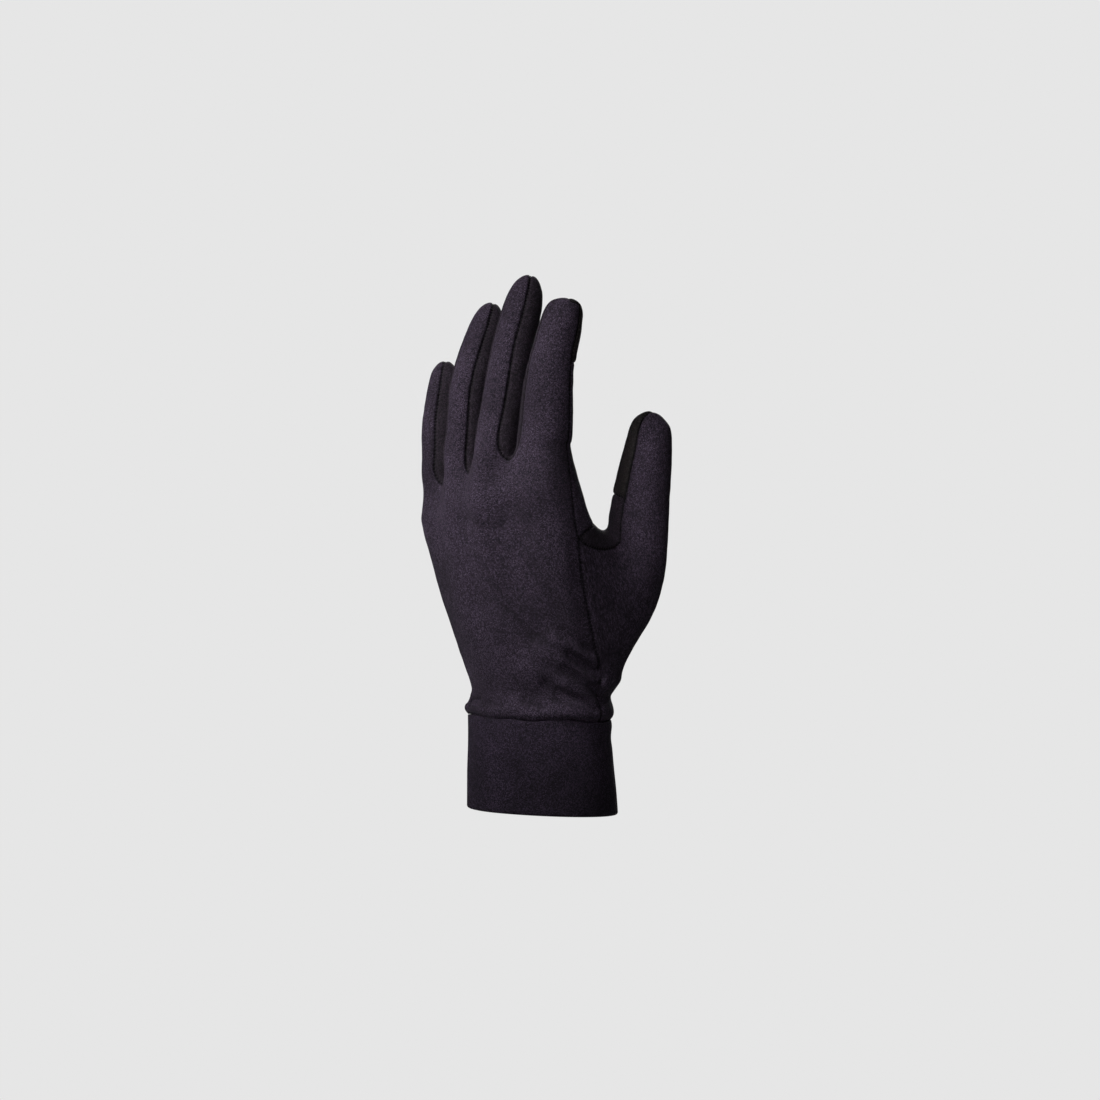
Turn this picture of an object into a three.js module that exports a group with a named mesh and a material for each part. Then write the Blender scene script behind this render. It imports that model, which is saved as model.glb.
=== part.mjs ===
// A left-hand stretch-fabric glove liner, built as it is sewn: a back panel, a palm panel,
// three fourchettes between the fingers, two thumb panels, two fingertip patches and a folded cuff.
// Millimetres, +Z up towards the fingertips. The back of the hand faces -Y and the thumb is at +X.
// The origin is the middle of the cuff's open end, where the hand goes in.
//
// The body is one smooth surface through a cage of points, one table row for each ring of points.
// Each panel is the stretch of that surface between its seams, given the thickness of the fabric.
import * as THREE from "three";

// Fabric
const FABRIC = 1.2; // thickness of one layer
const SEAM_GAP = 0.3; // room left between two panels along their seam
const PATCH_PROUD = 0.4; // how far the fingertip patches stand out of the panels round them

// Cuff
const CUFF_HEIGHT = 43;
const CUFF_LAYERS = 2; // the band is folded in two
const CUFF_HEM_WIDTH = 77;
const CUFF_HEM_DEPTH = 54;
const CUFF_TOP_WIDTH = 73.5;
const CUFF_TOP_DEPTH = 51;
const CUFF_LEAN = -3; // how far the cuff's top lies from its hem, along X

// Body
const WRIST_WIDTH = 71;
const WRIST_DEPTH = 49;
const WRIST_TURN = -7; // angle by which the wrist's seams are turned round to the back of the hand
const CROTCH_HEIGHT = 157; // of the middle of the row of finger crotches, above the hem
const CROTCH_RISE = 22; // of that row, from the little finger's side to the index's
const PALM_DEPTH = 28; // thickness of the hand at the knuckles
const KNUCKLE_LEFT = -21; // middle of the row of fingers from the cuff's axis, along X
const KNUCKLE_BACK = -16; // and along Y: the hand is bent back a little at the wrist

// Fingers, from the little finger to the index. Angles are in degrees.
// root_width, tip_width: width at the crotch and at the last joint. hand: thickness of the palm at
// its root, as a share of PALM_DEPTH. turn: how far its back faces the thumb's side. step: direction
// from its root to the next finger's, towards the palm. room: free space to the next finger there.
// flex: lean of its three bones towards the palm. fan: lean towards the thumb's side. blunt: how much
// wider its tip is than a round one.
const FINGERS = [
  {
    name: "little", length: 62, root_width: 17.4, tip_width: 15.8, depth: 16.2, hand: 0.76,
    turn: -24, step: -20, room: 1.2, flex: [4, 13, 18], fan: -7, blunt: 0,
  },
  {
    name: "ring", length: 87, root_width: 18.6, tip_width: 17.2, depth: 17.4, hand: 0.92,
    turn: -2, step: -10, room: 1.2, flex: [5, 18, 26], fan: -1.5, blunt: 0,
  },
  {
    name: "middle", length: 93, root_width: 20.0, tip_width: 18.6, depth: 18.6, hand: 1,
    turn: -3, step: 20, room: 1, flex: [12, 14, 21], fan: 0, blunt: 0,
  },
  {
    name: "index", length: 73, root_width: 26, tip_width: 19.4, depth: 19.6, hand: 1,
    turn: 5, step: 0, room: 0, flex: [0, 9, 17], fan: 3, blunt: 0.24,
  },
];

// Rings of a finger. along: share of the finger's length from its root. taper: how far its width has
// gone from root_width to tip_width. blunt: how much of its bluntness it takes. wide, deep: shares
// of that width and of its depth.
const FINGER_RINGS = [
  { along: 0.1, taper: 0.1, blunt: 0, wide: 1.0, deep: 1.13 },
  { along: 0.26, taper: 0.22, blunt: 0, wide: 1.0, deep: 1.06 },
  { along: 0.43, taper: 0.45, blunt: 0, wide: 1.0, deep: 1.0 },
  { along: 0.6, taper: 0.8, blunt: 0, wide: 1.0, deep: 0.96 },
  { along: 0.77, taper: 1.0, blunt: 0, wide: 1.0, deep: 0.92 },
  { along: 0.895, taper: 1.0, blunt: 0.4, wide: 0.84, deep: 0.8 },
  { along: 0.965, taper: 1.0, blunt: 1, wide: 0.5, deep: 0.52 },
];
const BONE_ENDS = [0.43, 0.74, 1]; // where each bone of a finger ends, as shares of its length

// Rings of the body. up: share of the way from the cuff seam to the finger crotches. hand: 0 has the
// wrist's oval and 1 the row of knuckles. rise: share of CROTCH_RISE. puff: size against that oval.
// heel: how far the palm stands out. web: how far the thumb's side stands out towards the thumb.
// sag: how far the seam there is pulled down. These three are shares of PALM_DEPTH. thin: how much
// thinner the hand is than the oval. valley: how much thinner it is again between two fingers.
const BODY_RINGS = [
  { up: 0, hand: 0, rise: 0, puff: 1.03, heel: 0, web: 0, sag: 0, thin: 0, valley: 0 },
  { up: 0.035, hand: 0, rise: 0, puff: 1.075, heel: 0, web: 0, sag: 0, thin: 0, valley: 0 },
  { up: 0.09, hand: 0.01, rise: 0, puff: 0.985, heel: 0, web: 0.04, sag: 0, thin: 0, valley: 0 },
  { up: 0.175, hand: 0.08, rise: 0, puff: 1.0, heel: 0.04, web: 0.1, sag: 0, thin: 0, valley: 0 },
  { up: 0.45, hand: 0.52, rise: 0.1, puff: 0.99, heel: 0.16, web: 0.1, sag: 0, thin: 0, valley: 0 },
  { up: 0.76, hand: 0.88, rise: 0.3, puff: 1.01, heel: 0.08, web: 0.13, sag: 0.25, thin: 0, valley: 0.02 },
  { up: 0.89, hand: 0.98, rise: 0.75, puff: 0.99, heel: 0.03, web: 0.06, sag: 0.05, thin: 0.07, valley: 0.1 },
  { up: 1.0, hand: 1.0, rise: 1.0, puff: 0.98, heel: 0, web: 0, sag: 0, thin: 0.16, valley: 0.3 },
];
// How much of web and sag each column on the thumb's side takes.
const WEB_COLUMNS = [
  { column: 9, web: 0.35, sag: 0.3 },
  { column: 10, web: 1, sag: 1 },
  { column: 11, web: 2.1, sag: 0 },
  { column: 12, web: 1.6, sag: 0 },
  { column: 13, web: 0.5, sag: 0 },
];

// Thumb
const THUMB_PLANE = 38; // angle from +X towards the palm of the upright plane that the thumb lies in
const THUMB_HEIGHT = 184; // of its tip above the hem
const THUMB_REACH = 57; // of its outer side from the cuff's axis, in that plane
const THUMB_DEPTH = 23; // thickness square to that plane, at the joint
const THUMB_TURN = 6; // angle by which its seams are turned round to its back
// Rings of the thumb, from its root to its tip. in_reach, out_reach: shares of THUMB_REACH of its
// inner and outer side. in_up, out_up: shares of THUMB_HEIGHT of the same two points. deep: share of
// THUMB_DEPTH. back: how far the ring lies behind the thumb's plane, as a share of THUMB_DEPTH.
const THUMB_RINGS = [
  { in_reach: 0.474, in_up: 0.713, out_reach: 0.816, out_up: 0.467, deep: 1.25, back: -0.1 },
  { in_reach: 0.495, in_up: 0.743, out_reach: 0.953, out_up: 0.586, deep: 1.12, back: -0.06 },
  { in_reach: 0.523, in_up: 0.803, out_reach: 0.981, out_up: 0.738, deep: 1.05, back: 0 },
  { in_reach: 0.575, in_up: 0.871, out_reach: 0.993, out_up: 0.841, deep: 1.0, back: 0.02 },
  { in_reach: 0.62, in_up: 0.928, out_reach: 0.992, out_up: 0.92, deep: 0.88, back: 0.04 },
  { in_reach: 0.665, in_up: 0.98, out_reach: 0.98, out_up: 0.97, deep: 0.64, back: 0.04 },
];
const THUMB_TIP = { reach: 0.83, up: 1.012, back: 0.04 };

// Folds and dents of the body. Each runs from one place to another, each place being a column and a
// height as in BODY_RINGS. wide: half its width. high: how far it stands out, or lies in below zero.
const FOLDS = [
  { name: "tuck under the thumb", from: [10.2, 0.165], to: [11.6, 0.165], wide: 3.6, high: 1.4 },
  { name: "dent below the tuck", from: [10.2, 0.09], to: [11.4, 0.1], wide: 4, high: -1 },
  { name: "upper wrist fold", from: [9.4, 0.22], to: [7.2, 0.33], wide: 4, high: -1 },
  { name: "upper wrist ridge", from: [9.2, 0.16], to: [7.4, 0.27], wide: 4, high: 0.9 },
  { name: "lower wrist fold", from: [9.6, 0.12], to: [7.8, 0.22], wide: 3.6, high: -1 },
  { name: "wrist dent", from: [6.6, 0.09], to: [6.1, 0.12], wide: 4.5, high: -1 },
  { name: "wrist dent by the little finger", from: [2.6, 0.04], to: [3.4, 0.05], wide: 4, high: -0.8 },
  { name: "hollow of the palm", from: [14.5, 0.4], to: [16, 0.75], wide: 14, high: -3 },
];

// Where each patch starts: the number of rings of its finger that lie below it.
const INDEX_PATCH_RING = 4;
const THUMB_PATCH_RING = 3;

// The rounded edge of the hand beside the little finger and the index, from its back to its front:
// out: share of half the finger's width. back: share of half the palm's thickness there.
const HAND_EDGE = [
  { out: 0.72, back: 0.68 },
  { out: 1, back: 0 },
  { out: 0.74, back: -0.7 },
];
const CROTCH_ROUND = 2; // how far the middle of a crotch stands above its two ends

// Columns of the body's rings. They run from the little finger's side (0), over the back of the
// hand, to the thumb's side (10), and round the palm again.
const COLUMNS = 20;
const RADIAL = COLUMNS / 2;
const SUBDIVISIONS = 1;
const FIT_ROUNDS = 8;
const SHARPEST_MITRE = 0.3; // limits how far a panel's pointed corner is drawn back

const rad = THREE.MathUtils.degToRad;
const vec = (x, y, z) => new THREE.Vector3(x, y, z);
const mix = (a, b, t) => a.clone().lerp(b, t);

// The middle of each finger's root and the way that its back faces, from the finger table.
function fingerRoots() {
  const roots = [vec(0, 0, 0)];
  for (let i = 0; i + 1 < FINGERS.length; i++) {
    const [a, b] = [FINGERS[i], FINGERS[i + 1]];
    const span = (a.root_width + b.root_width) / 2 + a.room;
    const step = vec(Math.cos(rad(a.step)), Math.sin(rad(a.step)), 0).multiplyScalar(span);
    roots.push(roots[i].clone().add(step));
  }
  const middle = mix(roots[0], roots[FINGERS.length - 1], 0.5);
  const move = vec(KNUCKLE_LEFT, KNUCKLE_BACK, 0).sub(middle);
  return roots.map((root, i) => {
    const turn = rad(FINGERS[i].turn);
    return {
      centre: root.add(move),
      dorsal: vec(Math.sin(turn), -Math.cos(turn), 0),
      radial: vec(Math.cos(turn), Math.sin(turn), 0),
    };
  });
}

// The oval of the wrist: column 0 is the little finger's side, and the columns are evenly turned.
function wristOval() {
  return Array.from({ length: COLUMNS }, (_, c) => {
    const angle = Math.PI + rad(WRIST_TURN) + (c * 2 * Math.PI) / COLUMNS;
    const out = vec((WRIST_WIDTH / 2) * Math.cos(angle), (WRIST_DEPTH / 2) * Math.sin(angle), 0);
    return out.add(vec(CUFF_LEAN, 0, 0));
  });
}

// The same columns round the row of knuckles.
function knuckleOval(roots) {
  const oval = new Array(COLUMNS);
  const halves = FINGERS.map((finger) => (finger.hand * PALM_DEPTH) / 2);
  roots.forEach((root, i) => {
    oval[2 + 2 * i] = root.centre.clone().addScaledVector(root.dorsal, halves[i]);
    oval[18 - 2 * i] = root.centre.clone().addScaledVector(root.dorsal, -halves[i]);
    const next = roots[i + 1];
    if (!next) return;
    const between = mix(root.centre, next.centre, 0.5);
    const dorsal = mix(root.dorsal, next.dorsal, 0.5).normalize();
    const half = (halves[i] + halves[i + 1]) / 2;
    oval[3 + 2 * i] = between.clone().addScaledVector(dorsal, half);
    oval[17 - 2 * i] = between.clone().addScaledVector(dorsal, -half);
  });
  const last = FINGERS.length - 1;
  for (const [i, side, columns] of [[0, -1, [1, 0, 19]], [last, 1, [9, 10, 11]]])
    HAND_EDGE.forEach(({ out, back }, k) => {
      oval[columns[k]] = roots[i].centre
        .clone()
        .addScaledVector(roots[i].radial, (side * out * FINGERS[i].root_width) / 2)
        .addScaledVector(roots[i].dorsal, back * halves[i]);
    });
  return oval;
}

// The cage: its points lie on the finished surface, and each quad names its panel.
const points = [];
const quads = [];
const addPoint = (p) => points.push(p.clone()) - 1;
const addQuad = (panel, ...corners) => quads.push({ panel, corners });

const fourchetteName = (i) => `fourchette_${FINGERS[i].name}_${FINGERS[i + 1].name}`;

// The panel that a side of a finger belongs to. Sides run from the little finger's side of the
// finger, over its back, to its front.
function fingerPanel(i, side, ring) {
  const outerLeft = i === 0;
  const outerRight = i === FINGERS.length - 1;
  if (side === 1 || side === 2) return "back_panel";
  if (side === 0) return outerLeft ? "back_panel" : fourchetteName(i - 1);
  if (side === 3 && !outerRight) return fourchetteName(i);
  if (side === 3) return "back_panel";
  if (side === 4 && !outerRight) return fourchetteName(i);
  if (side === 7 && !outerLeft) return fourchetteName(i - 1);
  return outerRight && ring >= INDEX_PATCH_RING ? "index_tip_patch" : "palm_panel";
}

// Rings of points up a finger, from the ring of its root, and the cap on its tip.
function addFinger(i, rootRing, root, height) {
  const finger = FINGERS[i];
  const spine = [];
  let at = root.centre.clone().setZ(height);
  let done = 0;
  const direction = (bone) => {
    const flex = rad(finger.flex[bone]);
    return vec(Math.tan(rad(finger.fan)), Math.tan(flex), 1).normalize();
  };
  const stations = [...FINGER_RINGS.map((r) => r.along), 1];
  for (const along of stations) {
    const bone = BONE_ENDS.findIndex((e) => along <= e);
    const tangent = direction(bone);
    at = at.clone().addScaledVector(tangent, (along - done) * finger.length);
    done = along;
    spine.push({ at, tangent });
  }
  let below = rootRing;
  FINGER_RINGS.forEach((row, k) => {
    const { at: centre, tangent } = spine[k];
    const ahead = spine[k + 1].tangent.clone().add(tangent).normalize();
    const radial = root.radial.clone().addScaledVector(ahead, -root.radial.dot(ahead)).normalize();
    const dorsal = vec(0, 0, 0).crossVectors(ahead, radial).negate();
    const broad = THREE.MathUtils.lerp(finger.root_width, finger.tip_width, row.taper);
    const width = broad * (row.wide + row.blunt * finger.blunt);
    const ring = Array.from({ length: 8 }, (_, j) => {
      const angle = rad(-90 + 45 * j);
      return addPoint(
        centre
          .clone()
          .addScaledVector(radial, (width / 2) * Math.sin(angle))
          .addScaledVector(dorsal, (finger.depth / 2) * row.deep * Math.cos(angle)),
      );
    });
    for (let j = 0; j < 8; j++) {
      const n = (j + 1) % 8;
      addQuad(fingerPanel(i, j, k), below[j], below[n], ring[n], ring[j]);
    }
    below = ring;
  });
  const tip = addPoint(spine[FINGER_RINGS.length].at);
  const last = FINGER_RINGS.length;
  const cap = (panel, a, b, c) => addQuad(panel, below[a], below[b], below[c], tip);
  cap("back_panel", 1, 2, 3);
  cap(i === FINGERS.length - 1 ? "index_tip_patch" : fingerPanel(i, 3, last), 3, 4, 5);
  cap(fingerPanel(i, 5, last), 5, 6, 7);
  cap(fingerPanel(i, 0, last), 7, 0, 1);
}

// The thumb's rings, from the ring of its root in the body, and the cap on its tip.
function addThumb(rootRing) {
  const plane = vec(Math.cos(rad(THUMB_PLANE)), Math.sin(rad(THUMB_PLANE)), 0);
  const behind = vec(plane.y, -plane.x, 0);
  const at = (reach, up, back) =>
    plane
      .clone()
      .multiplyScalar(reach * THUMB_REACH)
      .addScaledVector(behind, back * THUMB_DEPTH)
      .setZ(up * THUMB_HEIGHT);
  const panelOf = (side, ring) => {
    if (side >= 4) return "thumb_back_panel";
    return ring >= THUMB_PATCH_RING ? "thumb_tip_patch" : "thumb_front_panel";
  };
  let below = rootRing;
  THUMB_RINGS.forEach((row, k) => {
    const inner = at(row.in_reach, row.in_up, row.back);
    const outer = at(row.out_reach, row.out_up, row.back);
    const centre = mix(inner, outer, 0.5);
    const across = inner.clone().sub(centre);
    // Counted from the corner between its inner side and its back, by way of the inner side.
    const ring = Array.from({ length: 8 }, (_, j) => {
      const angle = rad(45 + THUMB_TURN - 45 * j);
      return addPoint(
        centre
          .clone()
          .addScaledVector(across, Math.cos(angle))
          .addScaledVector(behind, (row.deep * THUMB_DEPTH * Math.sin(angle)) / 2),
      );
    });
    for (let j = 0; j < 8; j++) {
      const n = (j + 1) % 8;
      addQuad(panelOf(j, k), below[n], below[j], ring[j], ring[n]);
    }
    below = ring;
  });
  const tip = addPoint(at(THUMB_TIP.reach, THUMB_TIP.up, THUMB_TIP.back));
  const last = THUMB_RINGS.length;
  for (const [a, b, c, side] of [[0, 1, 2, 0], [2, 3, 4, 2], [4, 5, 6, 4], [6, 7, 0, 6]])
    addQuad(panelOf(side, last), below[c], below[b], below[a], tip);
}

function buildCage() {
  const roots = fingerRoots();
  const wrist = wristOval();
  const knuckles = knuckleOval(roots);
  const bottom = CUFF_HEIGHT + SEAM_GAP;
  const left = knuckles[0].x;
  const right = knuckles[RADIAL].x;
  const towardsThumb = vec(Math.cos(rad(THUMB_PLANE)), Math.sin(rad(THUMB_PLANE)), 0);
  const places = BODY_RINGS.map((row) => {
    const flat = wrist.map((w, c) => mix(w, knuckles[c], row.hand));
    const centre = flat.reduce((s, p) => s.add(p), vec(0, 0, 0)).divideScalar(COLUMNS);
    return flat.map((p, c) => {
      const out = p.clone().sub(centre).multiplyScalar(row.puff);
      const q = centre.clone().add(out);
      if (c > RADIAL + 1) q.y += row.heel * PALM_DEPTH;
      const share = (knuckles[c].x - left) / (right - left) - 0.5;
      q.z = bottom + row.up * (CROTCH_HEIGHT - bottom) + row.rise * CROTCH_RISE * share;
      const side = WEB_COLUMNS.find((w) => w.column === c);
      if (side) q.addScaledVector(towardsThumb, side.web * row.web * PALM_DEPTH);
      if (side) q.z -= side.sag * row.sag * PALM_DEPTH;
      return q;
    });
  });
  // Near the fingers the back and the palm come closer together, most of all between two fingers.
  places.forEach((ring, r) => {
    const { thin, valley } = BODY_RINGS[r];
    for (let c = 1; c < RADIAL; c++) {
      const [back, front] = [ring[c], ring[COLUMNS - c]];
      const middle = mix(back, front, 0.5);
      const between = c % 2 === 1 && c > 1 && c < RADIAL - 1;
      back.lerp(middle, thin + (between ? valley : 0));
      front.lerp(middle, thin + (between ? valley / 2 : 0));
    }
  });
  const rings = places.map((ring) => ring.map(addPoint));
  // The thumb grows out of two columns and two rows of quads on its side of the palm.
  const THUMB_FIRST = 3;
  const inThumb = (r, c) => r >= THUMB_FIRST && r < THUMB_FIRST + 2 && c >= RADIAL && c < RADIAL + 2;
  for (let r = 0; r + 1 < rings.length; r++)
    for (let c = 0; c < COLUMNS; c++) {
      if (inThumb(r, c)) continue;
      const n = (c + 1) % COLUMNS;
      let panel = c < RADIAL ? "back_panel" : "palm_panel";
      if (r < THUMB_FIRST && c >= RADIAL && c < RADIAL + 2) panel = "thumb_back_panel";
      addQuad(panel, rings[r][c], rings[r][n], rings[r + 1][n], rings[r + 1][c]);
    }
  const [low, mid, high] = [0, 1, 2].map((k) => rings[THUMB_FIRST + k]);
  addThumb([high[10], high[11], high[12], mid[12], low[12], low[11], low[10], mid[10]]);

  // The crotch between two fingers is shared by both.
  const top = rings[rings.length - 1];
  const webs = [0, 1, 2].map((i) => {
    const between = mix(points[top[3 + 2 * i]], points[top[17 - 2 * i]], 0.5);
    between.z += CROTCH_ROUND;
    return addPoint(between);
  });
  const rootRings = [
    [top[0], top[1], top[2], top[3], webs[0], top[17], top[18], top[19]],
    [webs[0], top[3], top[4], top[5], webs[1], top[15], top[16], top[17]],
    [webs[1], top[5], top[6], top[7], webs[2], top[13], top[14], top[15]],
    [webs[2], top[7], top[8], top[9], top[10], top[11], top[12], top[13]],
  ];
  rootRings.forEach((ring, i) => {
    const height = ring.reduce((s, p) => s + points[p].z, 0) / 8;
    addFinger(i, ring, roots[i], height);
  });
  return places;
}

// The place at a column and a height of the body's rings.
function bodyPlace(rings, column, up) {
  const r = Math.max(BODY_RINGS.findIndex((row) => row.up >= up), 1);
  const [low, high] = [BODY_RINGS[r - 1], BODY_RINGS[r]];
  const t = (up - low.up) / (high.up - low.up);
  const c = Math.floor(column);
  const at = (ring) => mix(ring[c % COLUMNS], ring[(c + 1) % COLUMNS], column - c);
  return mix(at(rings[r - 1]), at(rings[r]), t);
}

// How far the folds lift the surface at a point.
function foldLift(p, folds) {
  const nearest = vec(0, 0, 0);
  return folds.reduce((sum, { line, wide, high }) => {
    line.closestPointToPoint(p, true, nearest);
    const away = nearest.distanceTo(p) / wide;
    return sum + high * Math.exp(-away * away);
  }, 0);
}

// One surface of quads: which quads and neighbours each point has.
function topology(count, faces) {
  const edges = new Map();
  const around = Array.from({ length: count }, () => ({ near: new Set(), far: [], rim: [] }));
  faces.forEach(({ corners }, f) => {
    corners.forEach((a, k) => {
      const b = corners[(k + 1) % 4];
      const key = a < b ? `${a}_${b}` : `${b}_${a}`;
      if (!edges.has(key)) edges.set(key, { a, b, faces: [] });
      edges.get(key).faces.push(f);
      around[a].near.add(b);
      around[b].near.add(a);
      around[a].far.push(corners[(k + 2) % 4]);
    });
  });
  for (const { a, b, faces: sides } of edges.values())
    if (sides.length === 1) {
      around[a].rim.push(b);
      around[b].rim.push(a);
    }
  return { edges, around };
}

// Where each point of a Catmull-Clark cage comes to lie on its smooth surface.
function limitPoints(cage, around) {
  return cage.map((p, i) => {
    const { near, far, rim } = around[i];
    const sum = vec(0, 0, 0);
    if (rim.length) {
      rim.forEach((r) => sum.add(cage[r]));
      return sum.addScaledVector(p, 4).divideScalar(6);
    }
    const n = near.size;
    near.forEach((e) => sum.addScaledVector(cage[e], 4));
    far.forEach((f) => sum.add(cage[f]));
    return sum.addScaledVector(p, n * n).divideScalar(n * (n + 5));
  });
}

// Moves the cage so that its smooth surface runs through the wanted points.
function fitCage(wanted, faces) {
  const { around } = topology(wanted.length, faces);
  const cage = wanted.map((p) => p.clone());
  for (let round = 0; round < FIT_ROUNDS; round++)
    limitPoints(cage, around).forEach((p, i) => cage[i].add(wanted[i]).sub(p));
  return cage;
}

// One round of Catmull-Clark subdivision.
function subdivide(cage, faces) {
  const { edges, around } = topology(cage.length, faces);
  const made = cage.map((p) => p.clone());
  const facePoints = faces.map(({ corners }) => {
    const centre = vec(0, 0, 0);
    corners.forEach((c) => centre.addScaledVector(cage[c], 0.25));
    return made.push(centre) - 1;
  });
  const edgePoints = new Map();
  for (const [key, { a, b, faces: sides }] of edges) {
    const middle = mix(cage[a], cage[b], 0.5);
    if (sides.length === 2)
      middle.add(mix(made[facePoints[sides[0]]], made[facePoints[sides[1]]], 0.5)).multiplyScalar(0.5);
    edgePoints.set(key, made.push(middle) - 1);
  }
  const faceSum = cage.map(() => vec(0, 0, 0));
  faces.forEach(({ corners }, f) => corners.forEach((c) => faceSum[c].add(made[facePoints[f]])));
  cage.forEach((p, i) => {
    const { near, rim } = around[i];
    const sum = vec(0, 0, 0);
    if (rim.length) {
      rim.forEach((r) => sum.add(cage[r]));
      made[i] = sum.addScaledVector(p, 6).divideScalar(8);
      return;
    }
    const n = near.size;
    near.forEach((e) => sum.add(cage[e]));
    made[i] = sum.add(faceSum[i]).divideScalar(n * n).addScaledVector(p, (n - 2) / n);
  });
  const edge = (a, b) => edgePoints.get(a < b ? `${a}_${b}` : `${b}_${a}`);
  const quarters = faces.flatMap(({ panel, corners }, f) =>
    corners.map((c, k) => {
      const next = corners[(k + 1) % 4];
      const last = corners[(k + 3) % 4];
      return { panel, corners: [c, edge(c, next), facePoints[f], edge(last, c)] };
    }),
  );
  return { cage: made, faces: quarters };
}

function surfaceNormals(surface, faces) {
  const normals = surface.map(() => vec(0, 0, 0));
  faces.forEach(({ corners: [a, b, c, d] }) => {
    const one = surface[c].clone().sub(surface[a]);
    const two = surface[d].clone().sub(surface[b]);
    const normal = one.cross(two);
    [a, b, c, d].forEach((v) => normals[v].add(normal));
  });
  return normals.map((n) => n.normalize());
}

// A closed solid from the quads of one panel: their outside, their inside one wall further in, and
// the edge between the two. Along its seams the panel is drawn back by half of SEAM_GAP.
function panelSolid(surface, normals, faces, wall, proud) {
  const used = new Map();
  const outer = [];
  const lift = [];
  const take = (v) => {
    if (!used.has(v)) {
      used.set(v, outer.length);
      outer.push(surface[v].clone().addScaledVector(normals[v], proud));
      lift.push(normals[v]);
    }
    return used.get(v);
  };
  const local = faces.map(({ corners }) => ({ corners: corners.map(take) }));
  const { edges } = topology(outer.length, local);
  const inward = new Map();
  const rim = [];
  for (const { a, b, faces: sides } of edges.values()) {
    if (sides.length !== 1) continue;
    const { corners } = local[sides[0]];
    const k = corners.indexOf(a);
    const [from, to] = corners[(k + 1) % 4] === b ? [a, b] : [b, a];
    rim.push([from, to]);
    const along = outer[to].clone().sub(outer[from]).normalize();
    for (const v of [from, to]) {
      const inside = vec(0, 0, 0).crossVectors(lift[v], along).normalize();
      inward.set(v, [...(inward.get(v) ?? []), inside]);
    }
  }
  for (const [v, [one, two]] of inward) {
    const mitre = one.clone().add(two).divideScalar(Math.max(1 + one.dot(two), SHARPEST_MITRE));
    outer[v].addScaledVector(mitre, SEAM_GAP / 2);
  }
  const inner = outer.map((p, v) => p.clone().addScaledVector(lift[v], -(wall + proud)));
  const all = [...outer, ...inner];
  const under = outer.length;
  const index = [];
  const quad = (a, b, c, d) => index.push(a, b, c, a, c, d);
  local.forEach(({ corners: [a, b, c, d] }) => {
    quad(a, b, c, d);
    quad(d + under, c + under, b + under, a + under);
  });
  // The edge's quads are split the same way in both of the panels that meet at a seam.
  const order = [...used.keys()];
  rim.forEach(([a, b]) => {
    if (order[a] < order[b]) quad(a, a + under, b + under, b);
    else quad(b, a, a + under, b + under);
  });
  return new THREE.BufferGeometry()
    .setAttribute("position", new THREE.Float32BufferAttribute(all.flatMap((p) => p.toArray()), 3))
    .setIndex(index);
}

const glove = new THREE.Group();

function addMesh(name, geometry, colour, roughness) {
  const material = new THREE.MeshStandardMaterial({ color: colour, roughness, metalness: 0 });
  geometry.computeVertexNormals();
  const mesh = new THREE.Mesh(geometry, material);
  mesh.name = name;
  glove.add(mesh);
}

const FABRIC_COLOUR = 0x2b2730;
const PATCH_COLOUR = 0x231d20;
const CUFF_COLOUR = 0x26222c;

function addBody() {
  const rings = buildCage();
  const folds = FOLDS.map(({ from, to, wide, high }) => {
    const line = new THREE.Line3(bodyPlace(rings, ...from), bodyPlace(rings, ...to));
    return { line, wide, high };
  });
  let cage = fitCage(points, quads);
  let faces = quads;
  for (let i = 0; i < SUBDIVISIONS; i++) ({ cage, faces } = subdivide(cage, faces));
  const surface = limitPoints(cage, topology(cage.length, faces).around);
  surfaceNormals(surface, faces).forEach((n, i) => surface[i].addScaledVector(n, foldLift(surface[i], folds)));
  const normals = surfaceNormals(surface, faces);
  const panels = new Set(faces.map((f) => f.panel));
  for (const panel of panels) {
    const patch = panel.endsWith("patch");
    const own = faces.filter((f) => f.panel === panel);
    const solid = panelSolid(surface, normals, own, FABRIC, patch ? PATCH_PROUD : 0);
    addMesh(panel, solid, patch ? PATCH_COLOUR : FABRIC_COLOUR, patch ? 0.8 : 0.9);
  }
}

// The cuff: an oval band, flat at its hem and at the seam to the body.
function addCuff() {
  const wall = FABRIC * CUFF_LAYERS;
  const sides = COLUMNS * 2;
  const rows = [
    { up: 0, flare: 0 },
    { up: 0.33, flare: 0.36 },
    { up: 0.66, flare: 0.7 },
    { up: 1, flare: 1 },
  ];
  const all = [];
  const index = [];
  const ring = (row, inset) => {
    const width = THREE.MathUtils.lerp(CUFF_HEM_WIDTH, CUFF_TOP_WIDTH, row.flare) / 2 - inset;
    const depth = THREE.MathUtils.lerp(CUFF_HEM_DEPTH, CUFF_TOP_DEPTH, row.flare) / 2 - inset;
    return Array.from({ length: sides }, (_, k) => {
      const angle = (2 * Math.PI * k) / sides;
      const x = width * Math.cos(angle) + row.up * CUFF_LEAN;
      return all.push([x, depth * Math.sin(angle), row.up * CUFF_HEIGHT]) - 1;
    });
  };
  const loop = [...rows.map((row) => ring(row, 0)), ...[...rows].reverse().map((row) => ring(row, wall))];
  loop.forEach((low, i) => {
    const high = loop[(i + 1) % loop.length];
    low.forEach((a, k) => {
      const n = (k + 1) % sides;
      index.push(a, low[n], high[n], a, high[n], high[k]);
    });
  });
  const geometry = new THREE.BufferGeometry()
    .setAttribute("position", new THREE.Float32BufferAttribute(all.flat(), 3))
    .setIndex(index);
  addMesh("cuff_band", geometry, CUFF_COLOUR, 0.88);
}

addBody();
addCuff();

export default glove;
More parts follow.
